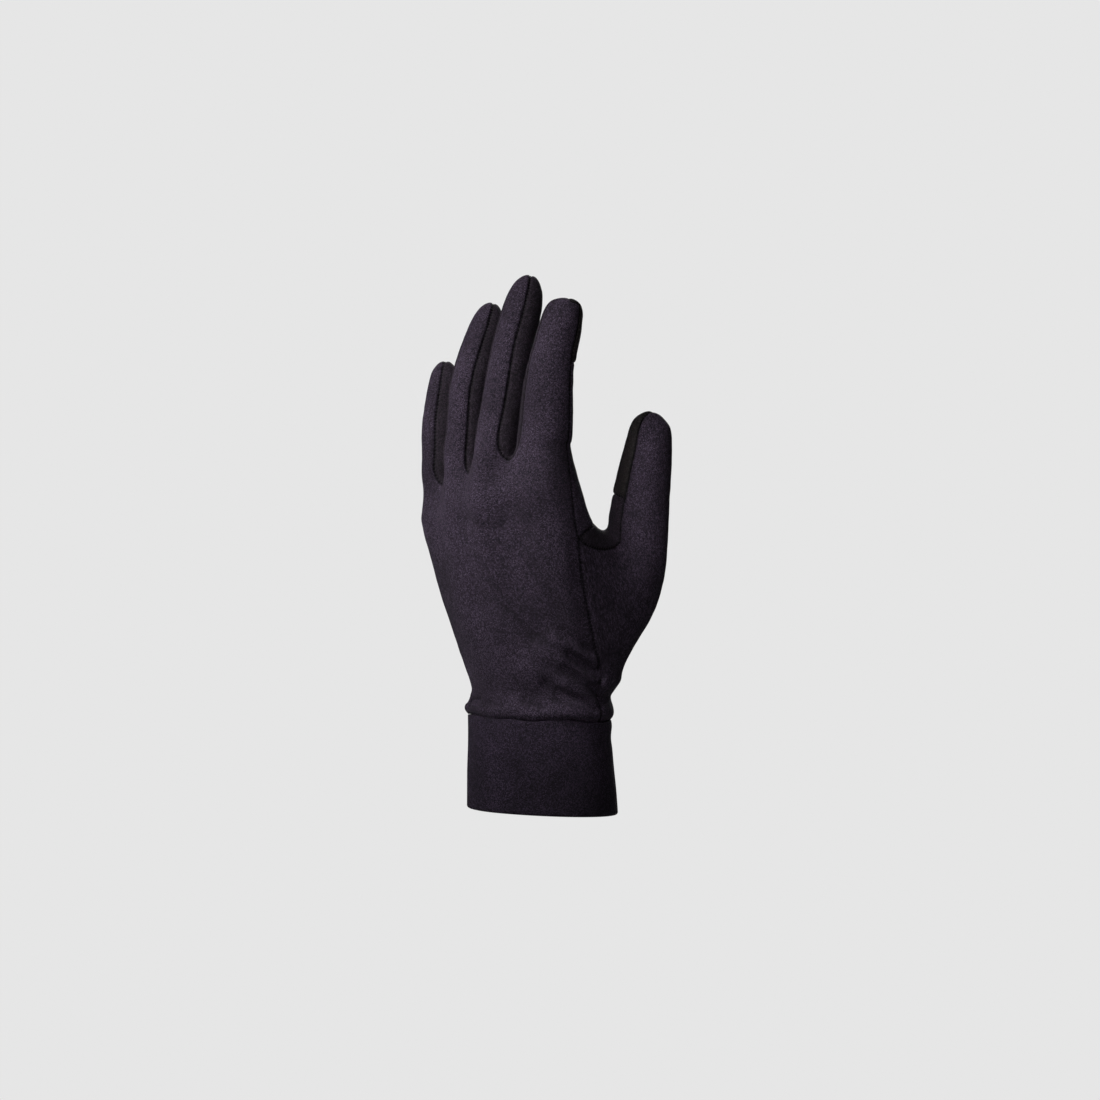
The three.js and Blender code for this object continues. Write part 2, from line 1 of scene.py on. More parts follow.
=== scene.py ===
"""A left-hand liner glove of stretch fabric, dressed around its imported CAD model.

The hand is rebuilt as one smooth surface through the same rings of points as the CAD part, cut into
its sewn panels along the seams. Lengths are in metres and angles in degrees. +Z runs from the cuff's
hem to the fingertips, the back of the hand faces -Y and the thumb is at +X.
"""

import logging
import math
from dataclasses import dataclass
from enum import Enum

import bpy
import numpy as np
from mathutils import Matrix, Vector, kdtree, noise

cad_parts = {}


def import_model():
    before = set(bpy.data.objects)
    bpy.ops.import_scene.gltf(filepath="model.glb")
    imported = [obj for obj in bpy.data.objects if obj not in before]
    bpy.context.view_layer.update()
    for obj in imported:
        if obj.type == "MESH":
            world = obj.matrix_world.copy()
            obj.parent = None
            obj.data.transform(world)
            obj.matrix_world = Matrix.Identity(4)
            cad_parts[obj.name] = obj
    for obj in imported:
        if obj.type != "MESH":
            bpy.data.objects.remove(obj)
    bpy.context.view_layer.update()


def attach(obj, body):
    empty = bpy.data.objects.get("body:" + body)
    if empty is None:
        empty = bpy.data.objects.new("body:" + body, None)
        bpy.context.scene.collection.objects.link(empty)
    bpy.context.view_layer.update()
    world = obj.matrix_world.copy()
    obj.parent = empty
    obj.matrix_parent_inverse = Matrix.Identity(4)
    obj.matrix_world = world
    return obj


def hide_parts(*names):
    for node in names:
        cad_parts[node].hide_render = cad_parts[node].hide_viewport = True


LOG = logging.getLogger("glove_liner")
BODY = "root"
# The columns of the hand's body, counted from the little finger's side over the back, and the one
# at the thumb's side.
COLUMNS = 20
RADIAL = COLUMNS // 2
# The sides of a finger or of the thumb, and the angle between two of them.
SIDES = 8
SIDE_ANGLE = 360 / SIDES
# Edges that bend more than this are sharp.
SHARP_ANGLE = 55
CUFF_TOP = 0.043
# The sway of the seam over the cuff: its height, the radius that it is drawn at, the distance
# between its waves and how far up and down the fabric follows it.
SEAM_SWAY = 0.0016
SEAM_REACH = 0.035
SWAY_SIZE = 0.024
SWAY_REACH = 0.009
# The least length of a vector that is divided by its length.
TINY = 1e-12
# How far a random pattern moves along each axis for each step of its seed.
SEED_STEPS = (7.3, 3.1, 5.7)


class Panel(Enum):
    """The sewn panels of the hand, each named after its CAD node."""

    BACK = "back_panel"
    PALM = "palm_panel"
    LITTLE_RING = "fourchette_little_ring"
    RING_MIDDLE = "fourchette_ring_middle"
    MIDDLE_INDEX = "fourchette_middle_index"
    THUMB_BACK = "thumb_back_panel"
    THUMB_FRONT = "thumb_front_panel"
    THUMB_TIP = "thumb_tip_patch"
    INDEX_TIP = "index_tip_patch"


PANELS = list(Panel)
FOURCHETTES = (Panel.LITTLE_RING, Panel.RING_MIDDLE, Panel.MIDDLE_INDEX)
THUMB_PANELS = (Panel.THUMB_BACK, Panel.THUMB_FRONT, Panel.THUMB_TIP)
INNER_PANELS = (Panel.THUMB_FRONT, *FOURCHETTES)
PATCHES = (Panel.THUMB_TIP, Panel.INDEX_TIP)


class Seam(Enum):
    """The families of seams, each sewn as one piece of stitching."""

    FINGERS = "finger_stitches"
    THUMB = "thumb_stitches"
    SIDES = "side_stitches"
    PATCHES = "patch_stitches"


class Pattern(Enum):
    """The random patterns in the form of the fabric, each with its seed."""

    SLACK = 1
    CRINKLE = 2
    CUFF_SLACK = 5
    GATHERS = 6
    SEAM_SWAY = 9


@dataclass(frozen=True)
class Finger:
    """One finger, from its root at the crotch to its tip.

    Angles: turn is how far its back faces the thumb's side, step the direction from its root to the
    next one's, flex the lean of its three bones towards the palm and fan its lean to the thumb's side.
    Shares: hand is how much of the palm's thickness it has at its root and blunt how much its tip is
    widened. Room is the gap to the next finger.
    """

    name: str
    length: float
    root_width: float
    tip_width: float
    depth: float
    hand: float
    turn: float
    step: float
    flex: tuple
    fan: float
    room: float = 0
    blunt: float = 0


@dataclass(frozen=True)
class FingerRing:
    """A ring of a finger, in shares of its length, taper, depth, width and bluntness."""

    along: float
    taper: float
    deep: float
    wide: float = 1
    blunt: float = 0


@dataclass(frozen=True)
class BodyRing:
    """A ring of the hand's body, between the wrist's oval (hand 0) and the knuckles (hand 1).

    Up is its height, puff its swell, rise its share of the slope of the crotches, heel the swell of the
    heel of the hand, web and sag the web of the thumb, thin its flatness and valley the dips between
    the knuckles.
    """

    up: float
    hand: float
    puff: float
    rise: float = 0
    heel: float = 0
    web: float = 0
    sag: float = 0
    thin: float = 0
    valley: float = 0


@dataclass(frozen=True)
class ThumbRing:
    """A ring of the thumb: its inner and outer side, its thickness and its place behind the plane."""

    in_reach: float
    in_up: float
    out_reach: float
    out_up: float
    deep: float
    back: float


@dataclass(frozen=True)
class Fold:
    """A fold or dent between two places of the body, each a column and a share of the height."""

    start: tuple
    end: tuple
    wide: float
    high: float


FINGERS = (
    Finger(
        "little", length=0.062, root_width=0.0174, tip_width=0.0158, depth=0.0162, hand=0.76,
        turn=-24, step=-20, room=0.0012, flex=(4, 13, 18), fan=-7,
    ),
    Finger(
        "ring", length=0.087, root_width=0.0186, tip_width=0.0172, depth=0.0174, hand=0.92,
        turn=-2, step=-10, room=0.0012, flex=(5, 18, 26), fan=-1.5,
    ),
    Finger(
        "middle", length=0.093, root_width=0.020, tip_width=0.0186, depth=0.0186, hand=1,
        turn=-3, step=20, room=0.001, flex=(12, 14, 21), fan=0,
    ),
    Finger(
        "index", length=0.073, root_width=0.026, tip_width=0.0194, depth=0.0196, hand=1,
        turn=5, step=0, flex=(0, 9, 17), fan=3, blunt=0.24,
    ),
)
LAST_FINGER = len(FINGERS) - 1

FINGER_RINGS = (
    FingerRing(along=0.1, taper=0.1, deep=1.13),
    FingerRing(along=0.26, taper=0.22, deep=1.06),
    FingerRing(along=0.43, taper=0.45, deep=1.0),
    FingerRing(along=0.6, taper=0.8, deep=0.96),
    FingerRing(along=0.77, taper=1.0, deep=0.92),
    FingerRing(along=0.895, taper=1.0, deep=0.8, wide=0.84, blunt=0.4),
    FingerRing(along=0.965, taper=1.0, deep=0.52, wide=0.5, blunt=1),
)
# Where each of the three bones ends, in shares of the finger's length.
BONE_ENDS = (0.43, 0.74, 1)

BODY_RINGS = (
    BodyRing(up=0, hand=0, puff=1.03),
    BodyRing(up=0.035, hand=0, puff=1.075),
    BodyRing(up=0.09, hand=0.01, puff=0.985, web=0.04),
    BodyRing(up=0.175, hand=0.08, puff=1.0, heel=0.04, web=0.1),
    BodyRing(up=0.45, hand=0.52, puff=0.99, rise=0.1, heel=0.16, web=0.1),
    BodyRing(up=0.76, hand=0.88, puff=1.01, rise=0.3, heel=0.08, web=0.13, sag=0.25, valley=0.02),
    BodyRing(
        up=0.89, hand=0.98, puff=0.99, rise=0.75, heel=0.03, web=0.06, sag=0.05, thin=0.07, valley=0.1,
    ),
    BodyRing(up=1.0, hand=1.0, puff=0.98, rise=1.0, thin=0.16, valley=0.3),
)
# How much of web and sag each column on the thumb's side takes.
WEB_COLUMNS = {9: (0.35, 0.3), 10: (1, 1), 11: (2.1, 0), 12: (1.6, 0), 13: (0.5, 0)}

THUMB_RINGS = (
    ThumbRing(in_reach=0.474, in_up=0.713, out_reach=0.816, out_up=0.467, deep=1.25, back=-0.1),
    ThumbRing(in_reach=0.495, in_up=0.743, out_reach=0.953, out_up=0.586, deep=1.12, back=-0.06),
    ThumbRing(in_reach=0.523, in_up=0.803, out_reach=0.981, out_up=0.738, deep=1.05, back=0),
    ThumbRing(in_reach=0.575, in_up=0.871, out_reach=0.993, out_up=0.841, deep=1.0, back=0.02),
    ThumbRing(in_reach=0.62, in_up=0.928, out_reach=0.992, out_up=0.92, deep=0.88, back=0.04),
    ThumbRing(in_reach=0.665, in_up=0.98, out_reach=0.98, out_up=0.97, deep=0.64, back=0.04),
)

# The rounded edge of the hand: shares of half a finger's width and of half the palm's thickness.
HAND_EDGE = ((0.72, 0.68), (1, 0), (0.74, -0.7))

FOLDS = (
    Fold((10.2, 0.165), (11.6, 0.165), wide=0.0036, high=0.0014),
    Fold((10.2, 0.09), (11.4, 0.1), wide=0.004, high=-0.001),
    Fold((9.4, 0.22), (7.2, 0.33), wide=0.004, high=-0.001),
    Fold((9.2, 0.16), (7.4, 0.27), wide=0.004, high=0.0009),
    Fold((9.6, 0.12), (7.8, 0.22), wide=0.0036, high=-0.001),
    Fold((6.6, 0.09), (6.1, 0.12), wide=0.0045, high=-0.001),
    Fold((2.6, 0.04), (3.4, 0.05), wide=0.004, high=-0.0008),
    Fold((14.5, 0.4), (16, 0.75), wide=0.014, high=-0.003),
)
# Finer creases that only the fabric's surface has.
CREASES = (
    Fold((10.5, 0.214), (12.4, 0.208), wide=0.0026, high=0.0014),
    Fold((10.1, 0.186), (12.4, 0.178), wide=0.0016, high=-0.002),
    Fold((10.3, 0.13), (11.6, 0.12), wide=0.003, high=0.0006),
    Fold((10.4, 0.25), (11.4, 0.245), wide=0.002, high=-0.0006),
    Fold((9.85, 0.19), (8.7, 0.26), wide=0.0022, high=-0.00221),
    Fold((9.8, 0.235), (8.2, 0.32), wide=0.0026, high=0.0017),
    Fold((9.7, 0.28), (8.5, 0.34), wide=0.0024, high=-0.0017),
    Fold((9.8, 0.13), (8.3, 0.21), wide=0.0024, high=-0.00221),
    Fold((9.7, 0.155), (8.3, 0.235), wide=0.002, high=0.00136),
    Fold((9.6, 0.075), (8.2, 0.15), wide=0.0026, high=0.00136),
    Fold((9.6, 0.05), (8.6, 0.09), wide=0.002, high=-0.00136),
    Fold((8.1, 0.09), (7.3, 0.15), wide=0.0026, high=-0.00204),
    Fold((7.6, 0.13), (6.6, 0.22), wide=0.003, high=0.00102),
    Fold((7.0, 0.055), (6.2, 0.08), wide=0.002, high=-0.00119),
    Fold((5.2, 0.05), (4.2, 0.06), wide=0.002, high=-0.00102),
    Fold((2.7, 0.05), (3.6, 0.055), wide=0.0022, high=-0.00204),
    Fold((1.0, 0.05), (2.0, 0.06), wide=0.0018, high=-0.00102),
    Fold((5.2, 0.82), (5.4, 0.74), wide=0.006, high=-0.0014),
    Fold((7.3, 0.82), (7.5, 0.74), wide=0.006, high=-0.0014),
    Fold((4.2, 0.87), (8.4, 0.88), wide=0.009, high=0.0009),
    Fold((6.4, 0.68), (7.6, 0.42), wide=0.013, high=-0.0018),
    Fold((3.0, 0.93), (3.0, 0.86), wide=0.0013, high=-0.0006),
    Fold((5.0, 0.95), (5.0, 0.9), wide=0.0013, high=-0.0005),
)


def unit(v: np.ndarray) -> np.ndarray:
    """The direction of a vector."""
    return v / np.linalg.norm(v)


def mix(a: np.ndarray, b: np.ndarray, t: float) -> np.ndarray:
    """The point a share t of the way from a to b."""
    return a + (b - a) * t


def flat_direction(angle: float) -> np.ndarray:
    """The level direction at an angle in degrees from +X towards +Y."""
    return np.array([math.cos(math.radians(angle)), math.sin(math.radians(angle)), 0.0])


def edge_of(a: int, b: int) -> tuple:
    """The edge between two points, the same from both ends."""
    return min(a, b), max(a, b)


def neighbours_of(edges: list) -> dict[int, list]:
    """Finds the points that share an edge with each point.

    Args:
        edges: Pairs of point numbers.

    Returns:
        The neighbours of each point, in the order of the edges.
    """
    near: dict[int, list] = {}
    for a, b in edges:
        near.setdefault(a, []).append(b)
        near.setdefault(b, []).append(a)
    return near


def back_column(finger: int) -> int:
    """The column below the middle of a finger's back, counted from the little finger."""
    return 2 + 2 * finger


def palm_column(finger: int) -> int:
    """The column below the middle of a finger's front."""
    return COLUMNS - back_column(finger)


class Cage:
    """The quads that the smooth surface of the hand runs through."""

    def __init__(self) -> None:
        """Starts an empty cage."""
        self.points: list[np.ndarray] = []
        self.quads: list[tuple] = []
        self.panels: list[Panel] = []
        self.uvs: list[tuple] = []

    def point(self, place: np.ndarray) -> int:
        """Adds a point and returns its number."""
        self.points.append(np.array(place, float))
        return len(self.points) - 1

    def quad(self, panel: Panel, corners: tuple, uvs: tuple) -> None:
        """Adds a quad.

        Args:
            panel: The panel that it belongs to.
            corners: Its four points, counted so that it faces out.
            uvs: The place of each corner in the flat fabric, in metres.
        """
        self.panels.append(panel)
        self.quads.append(tuple(corners))
        self.uvs.append(tuple(uvs))

    def fitted(self, rounds: int = 8) -> np.ndarray:
        """Moves the cage so that its smooth surface runs through its points.

        Args:
            rounds: How often the places are corrected.

        Returns:
            The moved points.
        """
        wanted = np.array(self.points)
        count = len(wanted)
        near: list[set] = [set() for _ in range(count)]
        far: list[list] = [[] for _ in range(count)]
        used: dict[tuple, int] = {}
        for quad in self.quads:
            for k, a in enumerate(quad):
                b = quad[(k + 1) % 4]
                near[a].add(b)
                near[b].add(a)
                far[a].append(quad[(k + 2) % 4])
                used[edge_of(a, b)] = used.get(edge_of(a, b), 0) + 1
        rim = neighbours_of([edge for edge, times in used.items() if times == 1])
        cage = wanted.copy()
        for _ in range(rounds):
            # Where the smooth surface ends up at each point: on the rim from the two beside it along the
            # rim, and elsewhere from all that share an edge (near) or only a quad (far) with it.
            limit = np.empty_like(cage)
            for i in range(count):
                if i in rim:
                    limit[i] = (4 * cage[i] + cage[rim[i]].sum(0)) / 6
                    continue
                n = len(near[i])
                total = n * n * cage[i] + 4 * cage[list(near[i])].sum(0) + cage[far[i]].sum(0)
                limit[i] = total / (n * (n + 5))
            cage += wanted - limit
        return cage


@dataclass
class HandForm:
    """The form of the hand in the glove, ring by ring, with the same sizes as the CAD part."""

    cuff_height: float = CUFF_TOP
    cuff_lean: float = -0.003
    seam_gap: float = 0.0003
    wrist_width: float = 0.071
    wrist_depth: float = 0.049
    wrist_turn: float = -7
    crotch_height: float = 0.157
    crotch_rise: float = 0.022
    crotch_round: float = 0.002
    palm_depth: float = 0.028
    knuckle_left: float = -0.021
    knuckle_back: float = -0.016
    thumb_plane: float = 38
    thumb_height: float = 0.184
    thumb_reach: float = 0.057
    thumb_depth: float = 0.023
    thumb_turn: float = 6
    thumb_tip_reach: float = 0.83
    thumb_tip_up: float = 1.012
    thumb_tip_back: float = 0.04
    thumb_row: int = 3
    index_patch_ring: int = 4
    thumb_patch_ring: int = 3
    column_pitch: float = 0.0105

    def __post_init__(self) -> None:
        """Builds the cage from the tables."""
        self.cage = Cage()
        self.roots = self._finger_roots()
        self.places = self._body_places()
        self.rings = [[self.cage.point(p) for p in ring] for ring in self.places]
        self._add_body()
        self._add_thumb()
        self._add_fingers()

    def _finger_roots(self) -> list:
        """Sets the fingers side by side over the row of knuckles.

        Returns:
            The middle of each finger's root, the way its back faces and its thumb side's direction.
        """
        roots = [np.zeros(3)]
        for a, b in zip(FINGERS, FINGERS[1:]):
            span = (a.root_width + b.root_width) / 2 + a.room
            roots.append(roots[-1] + flat_direction(a.step) * span)
        middle = (roots[0] + roots[-1]) / 2
        move = np.array([self.knuckle_left, self.knuckle_back, 0]) - middle
        return [
            (root + move, flat_direction(f.turn - 90), flat_direction(f.turn))
            for root, f in zip(roots, FINGERS)
        ]

    def _wrist_oval(self) -> list:
        """Draws the wrist's oval.

        Returns:
            One level point for each column.
        """
        half = np.array([self.wrist_width / 2, self.wrist_depth / 2, 0])
        turns = [180 + self.wrist_turn + c * 360 / COLUMNS for c in range(COLUMNS)]
        return [flat_direction(t) * half + np.array([self.cuff_lean, 0, 0]) for t in turns]

    def _knuckle_oval(self) -> list:
        """Draws the outline round the row of knuckles.

        Returns:
            One level point for each column.
        """
        oval: list = [None] * COLUMNS
        halves = [f.hand * self.palm_depth / 2 for f in FINGERS]
        for i, (centre, dorsal, _) in enumerate(self.roots):
            back, palm = back_column(i), palm_column(i)
            oval[back] = centre + dorsal * halves[i]
            oval[palm] = centre - dorsal * halves[i]
            if i == LAST_FINGER:
                continue
            between = (centre + self.roots[i + 1][0]) / 2
            facing = unit(dorsal + self.roots[i + 1][1])
            half = (halves[i] + halves[i + 1]) / 2
            oval[back + 1] = between + facing * half
            oval[palm - 1] = between - facing * half
        left, right = (1, 0, COLUMNS - 1), (RADIAL - 1, RADIAL, RADIAL + 1)
        for i, side, columns in ((0, -1, left), (LAST_FINGER, 1, right)):
            centre, dorsal, radial = self.roots[i]
            for column, (out, behind) in zip(columns, HAND_EDGE):
                reach = side * out * FINGERS[i].root_width / 2
                oval[column] = centre + radial * reach + dorsal * behind * halves[i]
        return oval

    def _body_places(self) -> list:
        """Shapes the body's rings, from the cuff's seam to the crotches.

        Returns:
            For each ring, its points in the order of the columns.
        """
        wrist, knuckles = self._wrist_oval(), self._knuckle_oval()
        bottom = self.cuff_height + self.seam_gap
        left, right = knuckles[0][0], knuckles[RADIAL][0]
        to_thumb = flat_direction(self.thumb_plane)
        places = []
        for row in BODY_RINGS:
            flat = [mix(w, k, row.hand) for w, k in zip(wrist, knuckles)]
            centre = sum(flat) / COLUMNS
            ring = []
            for c, p in enumerate(flat):
                q = centre + (p - centre) * row.puff
                if c > RADIAL + 1:
                    q[1] += row.heel * self.palm_depth
                share = (knuckles[c][0] - left) / (right - left) - 0.5
                high = row.up * (self.crotch_height - bottom)
                q[2] = bottom + high + row.rise * self.crotch_rise * share
                web, sag = WEB_COLUMNS.get(c, (0, 0))
                q = q + to_thumb * web * row.web * self.palm_depth
                q[2] -= sag * row.sag * self.palm_depth
                ring.append(q)
            for c in range(1, RADIAL):
                middle = (ring[c] + ring[COLUMNS - c]) / 2
                between = c % 2 == 1 and 1 < c < RADIAL - 1
                valley = row.valley if between else 0
                ring[c] = mix(ring[c], middle, row.thin + valley)
                ring[COLUMNS - c] = mix(ring[COLUMNS - c], middle, row.thin + valley / 2)
            places.append(ring)
        return places

    def _in_thumb(self, r: int, c: int) -> bool:
        """Whether the thumb grows out of this quad of the body."""
        return self.thumb_row <= r < self.thumb_row + 2 and RADIAL <= c < RADIAL + 2

    def _add_body(self) -> None:
        """Adds the quads between the body's rings."""
        points, rings = self.cage.points, self.rings
        for r in range(len(rings) - 1):
            for c in range(COLUMNS):
                if self._in_thumb(r, c):
                    continue
                n = (c + 1) % COLUMNS
                panel = Panel.BACK if c < RADIAL else Panel.PALM
                if r < self.thumb_row and RADIAL <= c < RADIAL + 2:
                    panel = Panel.THUMB_BACK
                corners = (rings[r][c], rings[r][n], rings[r + 1][n], rings[r + 1][c])
                across = (c, c + 1, c + 1, c)
                uvs = [(a * self.column_pitch, points[p][2]) for a, p in zip(across, corners)]
                self.cage.quad(panel, corners, uvs)

    def _thumb_point(self, reach: float, up: float, back: float) -> np.ndarray:
        """Finds a point of the thumb.

        Args:
            reach: How far out it lies, as a share of the thumb's reach.
            up: Its height, as a share of the thumb's height.
            back: How far behind the thumb's plane it lies, as a share of the thumb's thickness.

        Returns:
            The place in metres.
        """
        plane, behind = flat_direction(self.thumb_plane), flat_direction(self.thumb_plane - 90)
        place = plane * reach * self.thumb_reach + behind * back * self.thumb_depth
        place[2] = up * self.thumb_height
        return place

    def _thumb_panel(self, side: int, ring: int) -> Panel:
        """Finds the panel that a side of the thumb belongs to.

        Args:
            side: The side, from the inner edge over the front.
            ring: The ring above it.

        Returns:
            The panel.
        """
        if side >= SIDES // 2:
            return Panel.THUMB_BACK
        return Panel.THUMB_TIP if ring >= self.thumb_patch_ring else Panel.THUMB_FRONT

    def _add_thumb(self) -> None:
        """Adds the thumb's rings, from the ring of its root in the body, and the cap on its tip."""
        behind = flat_direction(self.thumb_plane - 90)
        root_rings = self.rings[self.thumb_row : self.thumb_row + 3]
        low, mid, high = (ring[RADIAL : RADIAL + 3] for ring in root_rings)
        below = [*high, mid[-1], *low[::-1], mid[0]]
        along = 0.0
        centre = np.mean([self.cage.points[p] for p in below], 0)
        for k, row in enumerate(THUMB_RINGS):
            inner = self._thumb_point(row.in_reach, row.in_up, row.back)
            outer = self._thumb_point(row.out_reach, row.out_up, row.back)
            last, centre = centre, (inner + outer) / 2
            ahead = along + np.linalg.norm(centre - last)
            across, depth = inner - centre, behind * row.deep * self.thumb_depth / 2
            ring = []
            for j in range(SIDES):
                angle = math.radians(SIDE_ANGLE * (1 - j) + self.thumb_turn)
                place = centre + across * math.cos(angle) + depth * math.sin(angle)
                ring.append(self.cage.point(place))
            for j in range(SIDES):
                n = (j + 1) % SIDES
                u = (j + 1) * self.column_pitch, j * self.column_pitch
                uvs = ((u[0], along), (u[1], along), (u[1], ahead), (u[0], ahead))
                self.cage.quad(self._thumb_panel(j, k), (below[n], below[j], ring[j], ring[n]), uvs)
            below, along = ring, ahead
        tip = self._thumb_point(self.thumb_tip_reach, self.thumb_tip_up, self.thumb_tip_back)
        panels = [self._thumb_panel(side, len(THUMB_RINGS)) for side in range(0, SIDES, 2)]
        self._cap(below, self.cage.point(tip), along, panels, -1)

    def _cap(self, ring: list, tip: int, along: float, panels: list, turn: int) -> None:
        """Closes a ring of eight points with four quads that meet at the tip.

        Args:
            ring: The ring's points.
            tip: The point at the tip.
            along: How far along the fabric the ring lies.
            panels: The panels of the quads from the ring's first point on.
            turn: 1 where the ring is counted so that it faces out, and -1 where it isn't.
        """
        beyond = along + self.column_pitch / 2
        for k, panel in enumerate(panels):
            corners = [ring[2 * k], ring[2 * k + 1], ring[(2 * k + 2) % SIDES]]
            u = [a * self.column_pitch for a in (2 * k, 2 * k + 1, 2 * k + 2)]
            uvs = [(u[0], along), (u[1], along), (u[2], along)]
            self.cage.quad(panel, (*corners[::turn], tip), (*uvs[::turn], (u[1], beyond)))

    def _finger_panel(self, i: int, side: int, ring: int) -> Panel:
        """Finds the panel that a side of a finger belongs to.

        Args:
            i: The finger's number, from the little finger.
            side: The side, from the little finger's side over the back.
            ring: The ring above it.

        Returns:
            The panel.
        """
        last = i == LAST_FINGER
        if side in (1, 2) or (side == 0 and i == 0) or (side == 3 and last):
            return Panel.BACK
        if side in (0, 7) and i > 0:
            return FOURCHETTES[i - 1]
        if side in (3, 4) and not last:
            return FOURCHETTES[i]
        return Panel.INDEX_TIP if last and ring >= self.index_patch_ring else Panel.PALM

    def _add_fingers(self) -> None:
        """Adds the crotches between the fingers and the four fingers."""
        cage, top = self.cage, self.rings[-1]
        middles = [top[0]]
        for i in range(LAST_FINGER):
            between = (cage.points[top[back_column(i) + 1]] + cage.points[top[palm_column(i) - 1]]) / 2
            between[2] += self.crotch_round
            middles.append(cage.point(between))
        middles.append(top[RADIAL])
        for i in range(len(FINGERS)):
            back, palm = back_column(i), palm_column(i)
            ring = [middles[i], *top[back - 1 : back + 2], middles[i + 1], *top[palm - 1 : palm + 2]]
            self._add_finger(i, ring)

    def _spine(self, i: int, height: float) -> list:
        """Bends a finger's middle line along its bones.

        Args:
            i: The finger's number, from the little finger.
            height: The height of its root.

        Returns:
            A place and a direction for each ring and for the tip.
        """
        finger = FINGERS[i]
        at = self.roots[i][0] + np.array([0, 0, height])
        fan = math.tan(math.radians(finger.fan))
        spine, done = [], 0.0
        for along in [row.along for row in FINGER_RINGS] + [1]:
            bone = next(b for b, end in enumerate(BONE_ENDS) if along <= end)
            tangent = unit(np.array([fan, math.tan(math.radians(finger.flex[bone])), 1]))
            at = at + tangent * (along - done) * finger.length
            done = along
            spine.append((at, tangent))
        return spine

    def _add_finger(self, i: int, below: list) -> None:
        """Adds a finger's rings and the cap on its tip.

        Args:
            i: The finger's number, from the little finger.
            below: The ring of its root in the body.
        """
        finger, cage = FINGERS[i], self.cage
        height = float(np.mean([cage.points[p][2] for p in below]))
        spine = self._spine(i, height)
        along, step = height, self.column_pitch
        for k, row in enumerate(FINGER_RINGS):
            centre, tangent = spine[k]
            ahead = unit(spine[k + 1][1] + tangent)
            radial = self.roots[i][2]
            radial = unit(radial - ahead * radial.dot(ahead))
            dorsal = -np.cross(ahead, radial)
            broad = finger.root_width + (finger.tip_width - finger.root_width) * row.taper
            wide = broad * (row.wide + row.blunt * finger.blunt) / 2
            deep = finger.depth * row.deep / 2
            ring = []
            for j in range(SIDES):
                angle = math.radians(SIDE_ANGLE * j - 90)
                out = radial * wide * math.sin(angle) + dorsal * deep * math.cos(angle)
                ring.append(cage.point(centre + out))
            top, narrow = height + row.along * finger.length, math.pi * (wide + deep) / SIDES
            for j in range(SIDES):
                n = (j + 1) % SIDES
                corners = (below[j], below[n], ring[n], ring[j])
                low, high = (step, along), (narrow, top)
                places = ((j, *low), (j + 1, *low), (j + 1, *high), (j, *high))
                uvs = [self._finger_uv(i, j, *place) for place in places]
                cage.quad(self._finger_panel(i, j, k), corners, uvs)
            below, along, step = ring, top, narrow
        tip = cage.point(spine[-1][0])
        last = len(FINGER_RINGS)
        panels = [self._finger_panel(i, side, last) for side in (1, 3, 5, 0)]
        if i == LAST_FINGER:
            panels[1] = Panel.INDEX_TIP
        self._cap(below[1:] + below[:1], tip, along, panels, 1)

    def _finger_uv(self, i: int, side: int, place: float, step: float, up: float) -> tuple:
        """The place in the flat fabric of a point of a finger.

        Args:
            i: The finger's number, from the little finger.
            side: The side that the point is used for.
            place: The point's number in its ring, from the finger's little side over its back.
            step: The distance between two points of its ring.
            up: How far up the fabric the ring lies.

        Returns:
            The place in metres, across and along the wales.
        """
        if side < SIDES // 2:
            middle, column = SIDES // 4, back_column(i)
        else:
            middle, column = 3 * SIDES // 4, palm_column(i)
        return column * self.column_pitch + (place - middle) * step, up

    def body_place(self, column: float, up: float) -> np.ndarray:
        """The place at a column and a height of the body's rings.

        Args:
            column: The column, with a fraction between two of them.
            up: The share of the way from the cuff's seam to the crotches.

        Returns:
            The place in metres.
        """
        r = max(next(k for k, row in enumerate(BODY_RINGS) if row.up >= up), 1)
        low, high = BODY_RINGS[r - 1], BODY_RINGS[r]
        t = (up - low.up) / (high.up - low.up)
        c = math.floor(column)

        def at(ring: list) -> np.ndarray:
            """The place between two columns of one ring."""
            return mix(ring[c % COLUMNS], ring[(c + 1) % COLUMNS], column - c)

        return mix(at(self.places[r - 1]), at(self.places[r]), t)


@dataclass
class SeamLine:
    """A seam between two panels, as a line on the surface."""

    family: Seam
    points: np.ndarray
    normals: np.ndarray


def chains_of(edges: list) -> list:
    """Joins edges that share a point into lines.

    Args:
        edges: Pairs of point numbers.

    Returns:
        Lists of point numbers, each a line that ends where other lines meet it.
    """
    near = neighbours_of(edges)
    left = {edge_of(a, b) for a, b in edges}
    chains = []
    ends = [p for p in near if len(near[p]) != 2]
    for start in ends + list(near):
        for first in near[start]:
            if edge_of(start, first) not in left:
                continue
            chain = [start, first]
            left.discard(edge_of(start, first))
            while len(near[chain[-1]]) == 2:
                ahead = [p for p in near[chain[-1]] if edge_of(p, chain[-1]) in left]
                if not ahead:
                    break
                left.discard(edge_of(ahead[0], chain[-1]))
                chain.append(ahead[0])
            chains.append(chain)
    return chains


def normals_of(points: np.ndarray, quads: np.ndarray) -> np.ndarray:
    """Finds the normals of a mesh of quads.

    Args:
        points: One row of x, y, z for each point.
        quads: One row of four point numbers for each quad.

    Returns:
        The unit normal at each point.
    """
    a, b, c, d = (points[quads[:, k]] for k in range(4))
    faces = np.cross(c - a, d - b)
    normals = np.zeros_like(points)
    for k in range(4):
        np.add.at(normals, quads[:, k], faces)
    return normals / np.maximum(np.linalg.norm(normals, axis=1, keepdims=True), TINY)


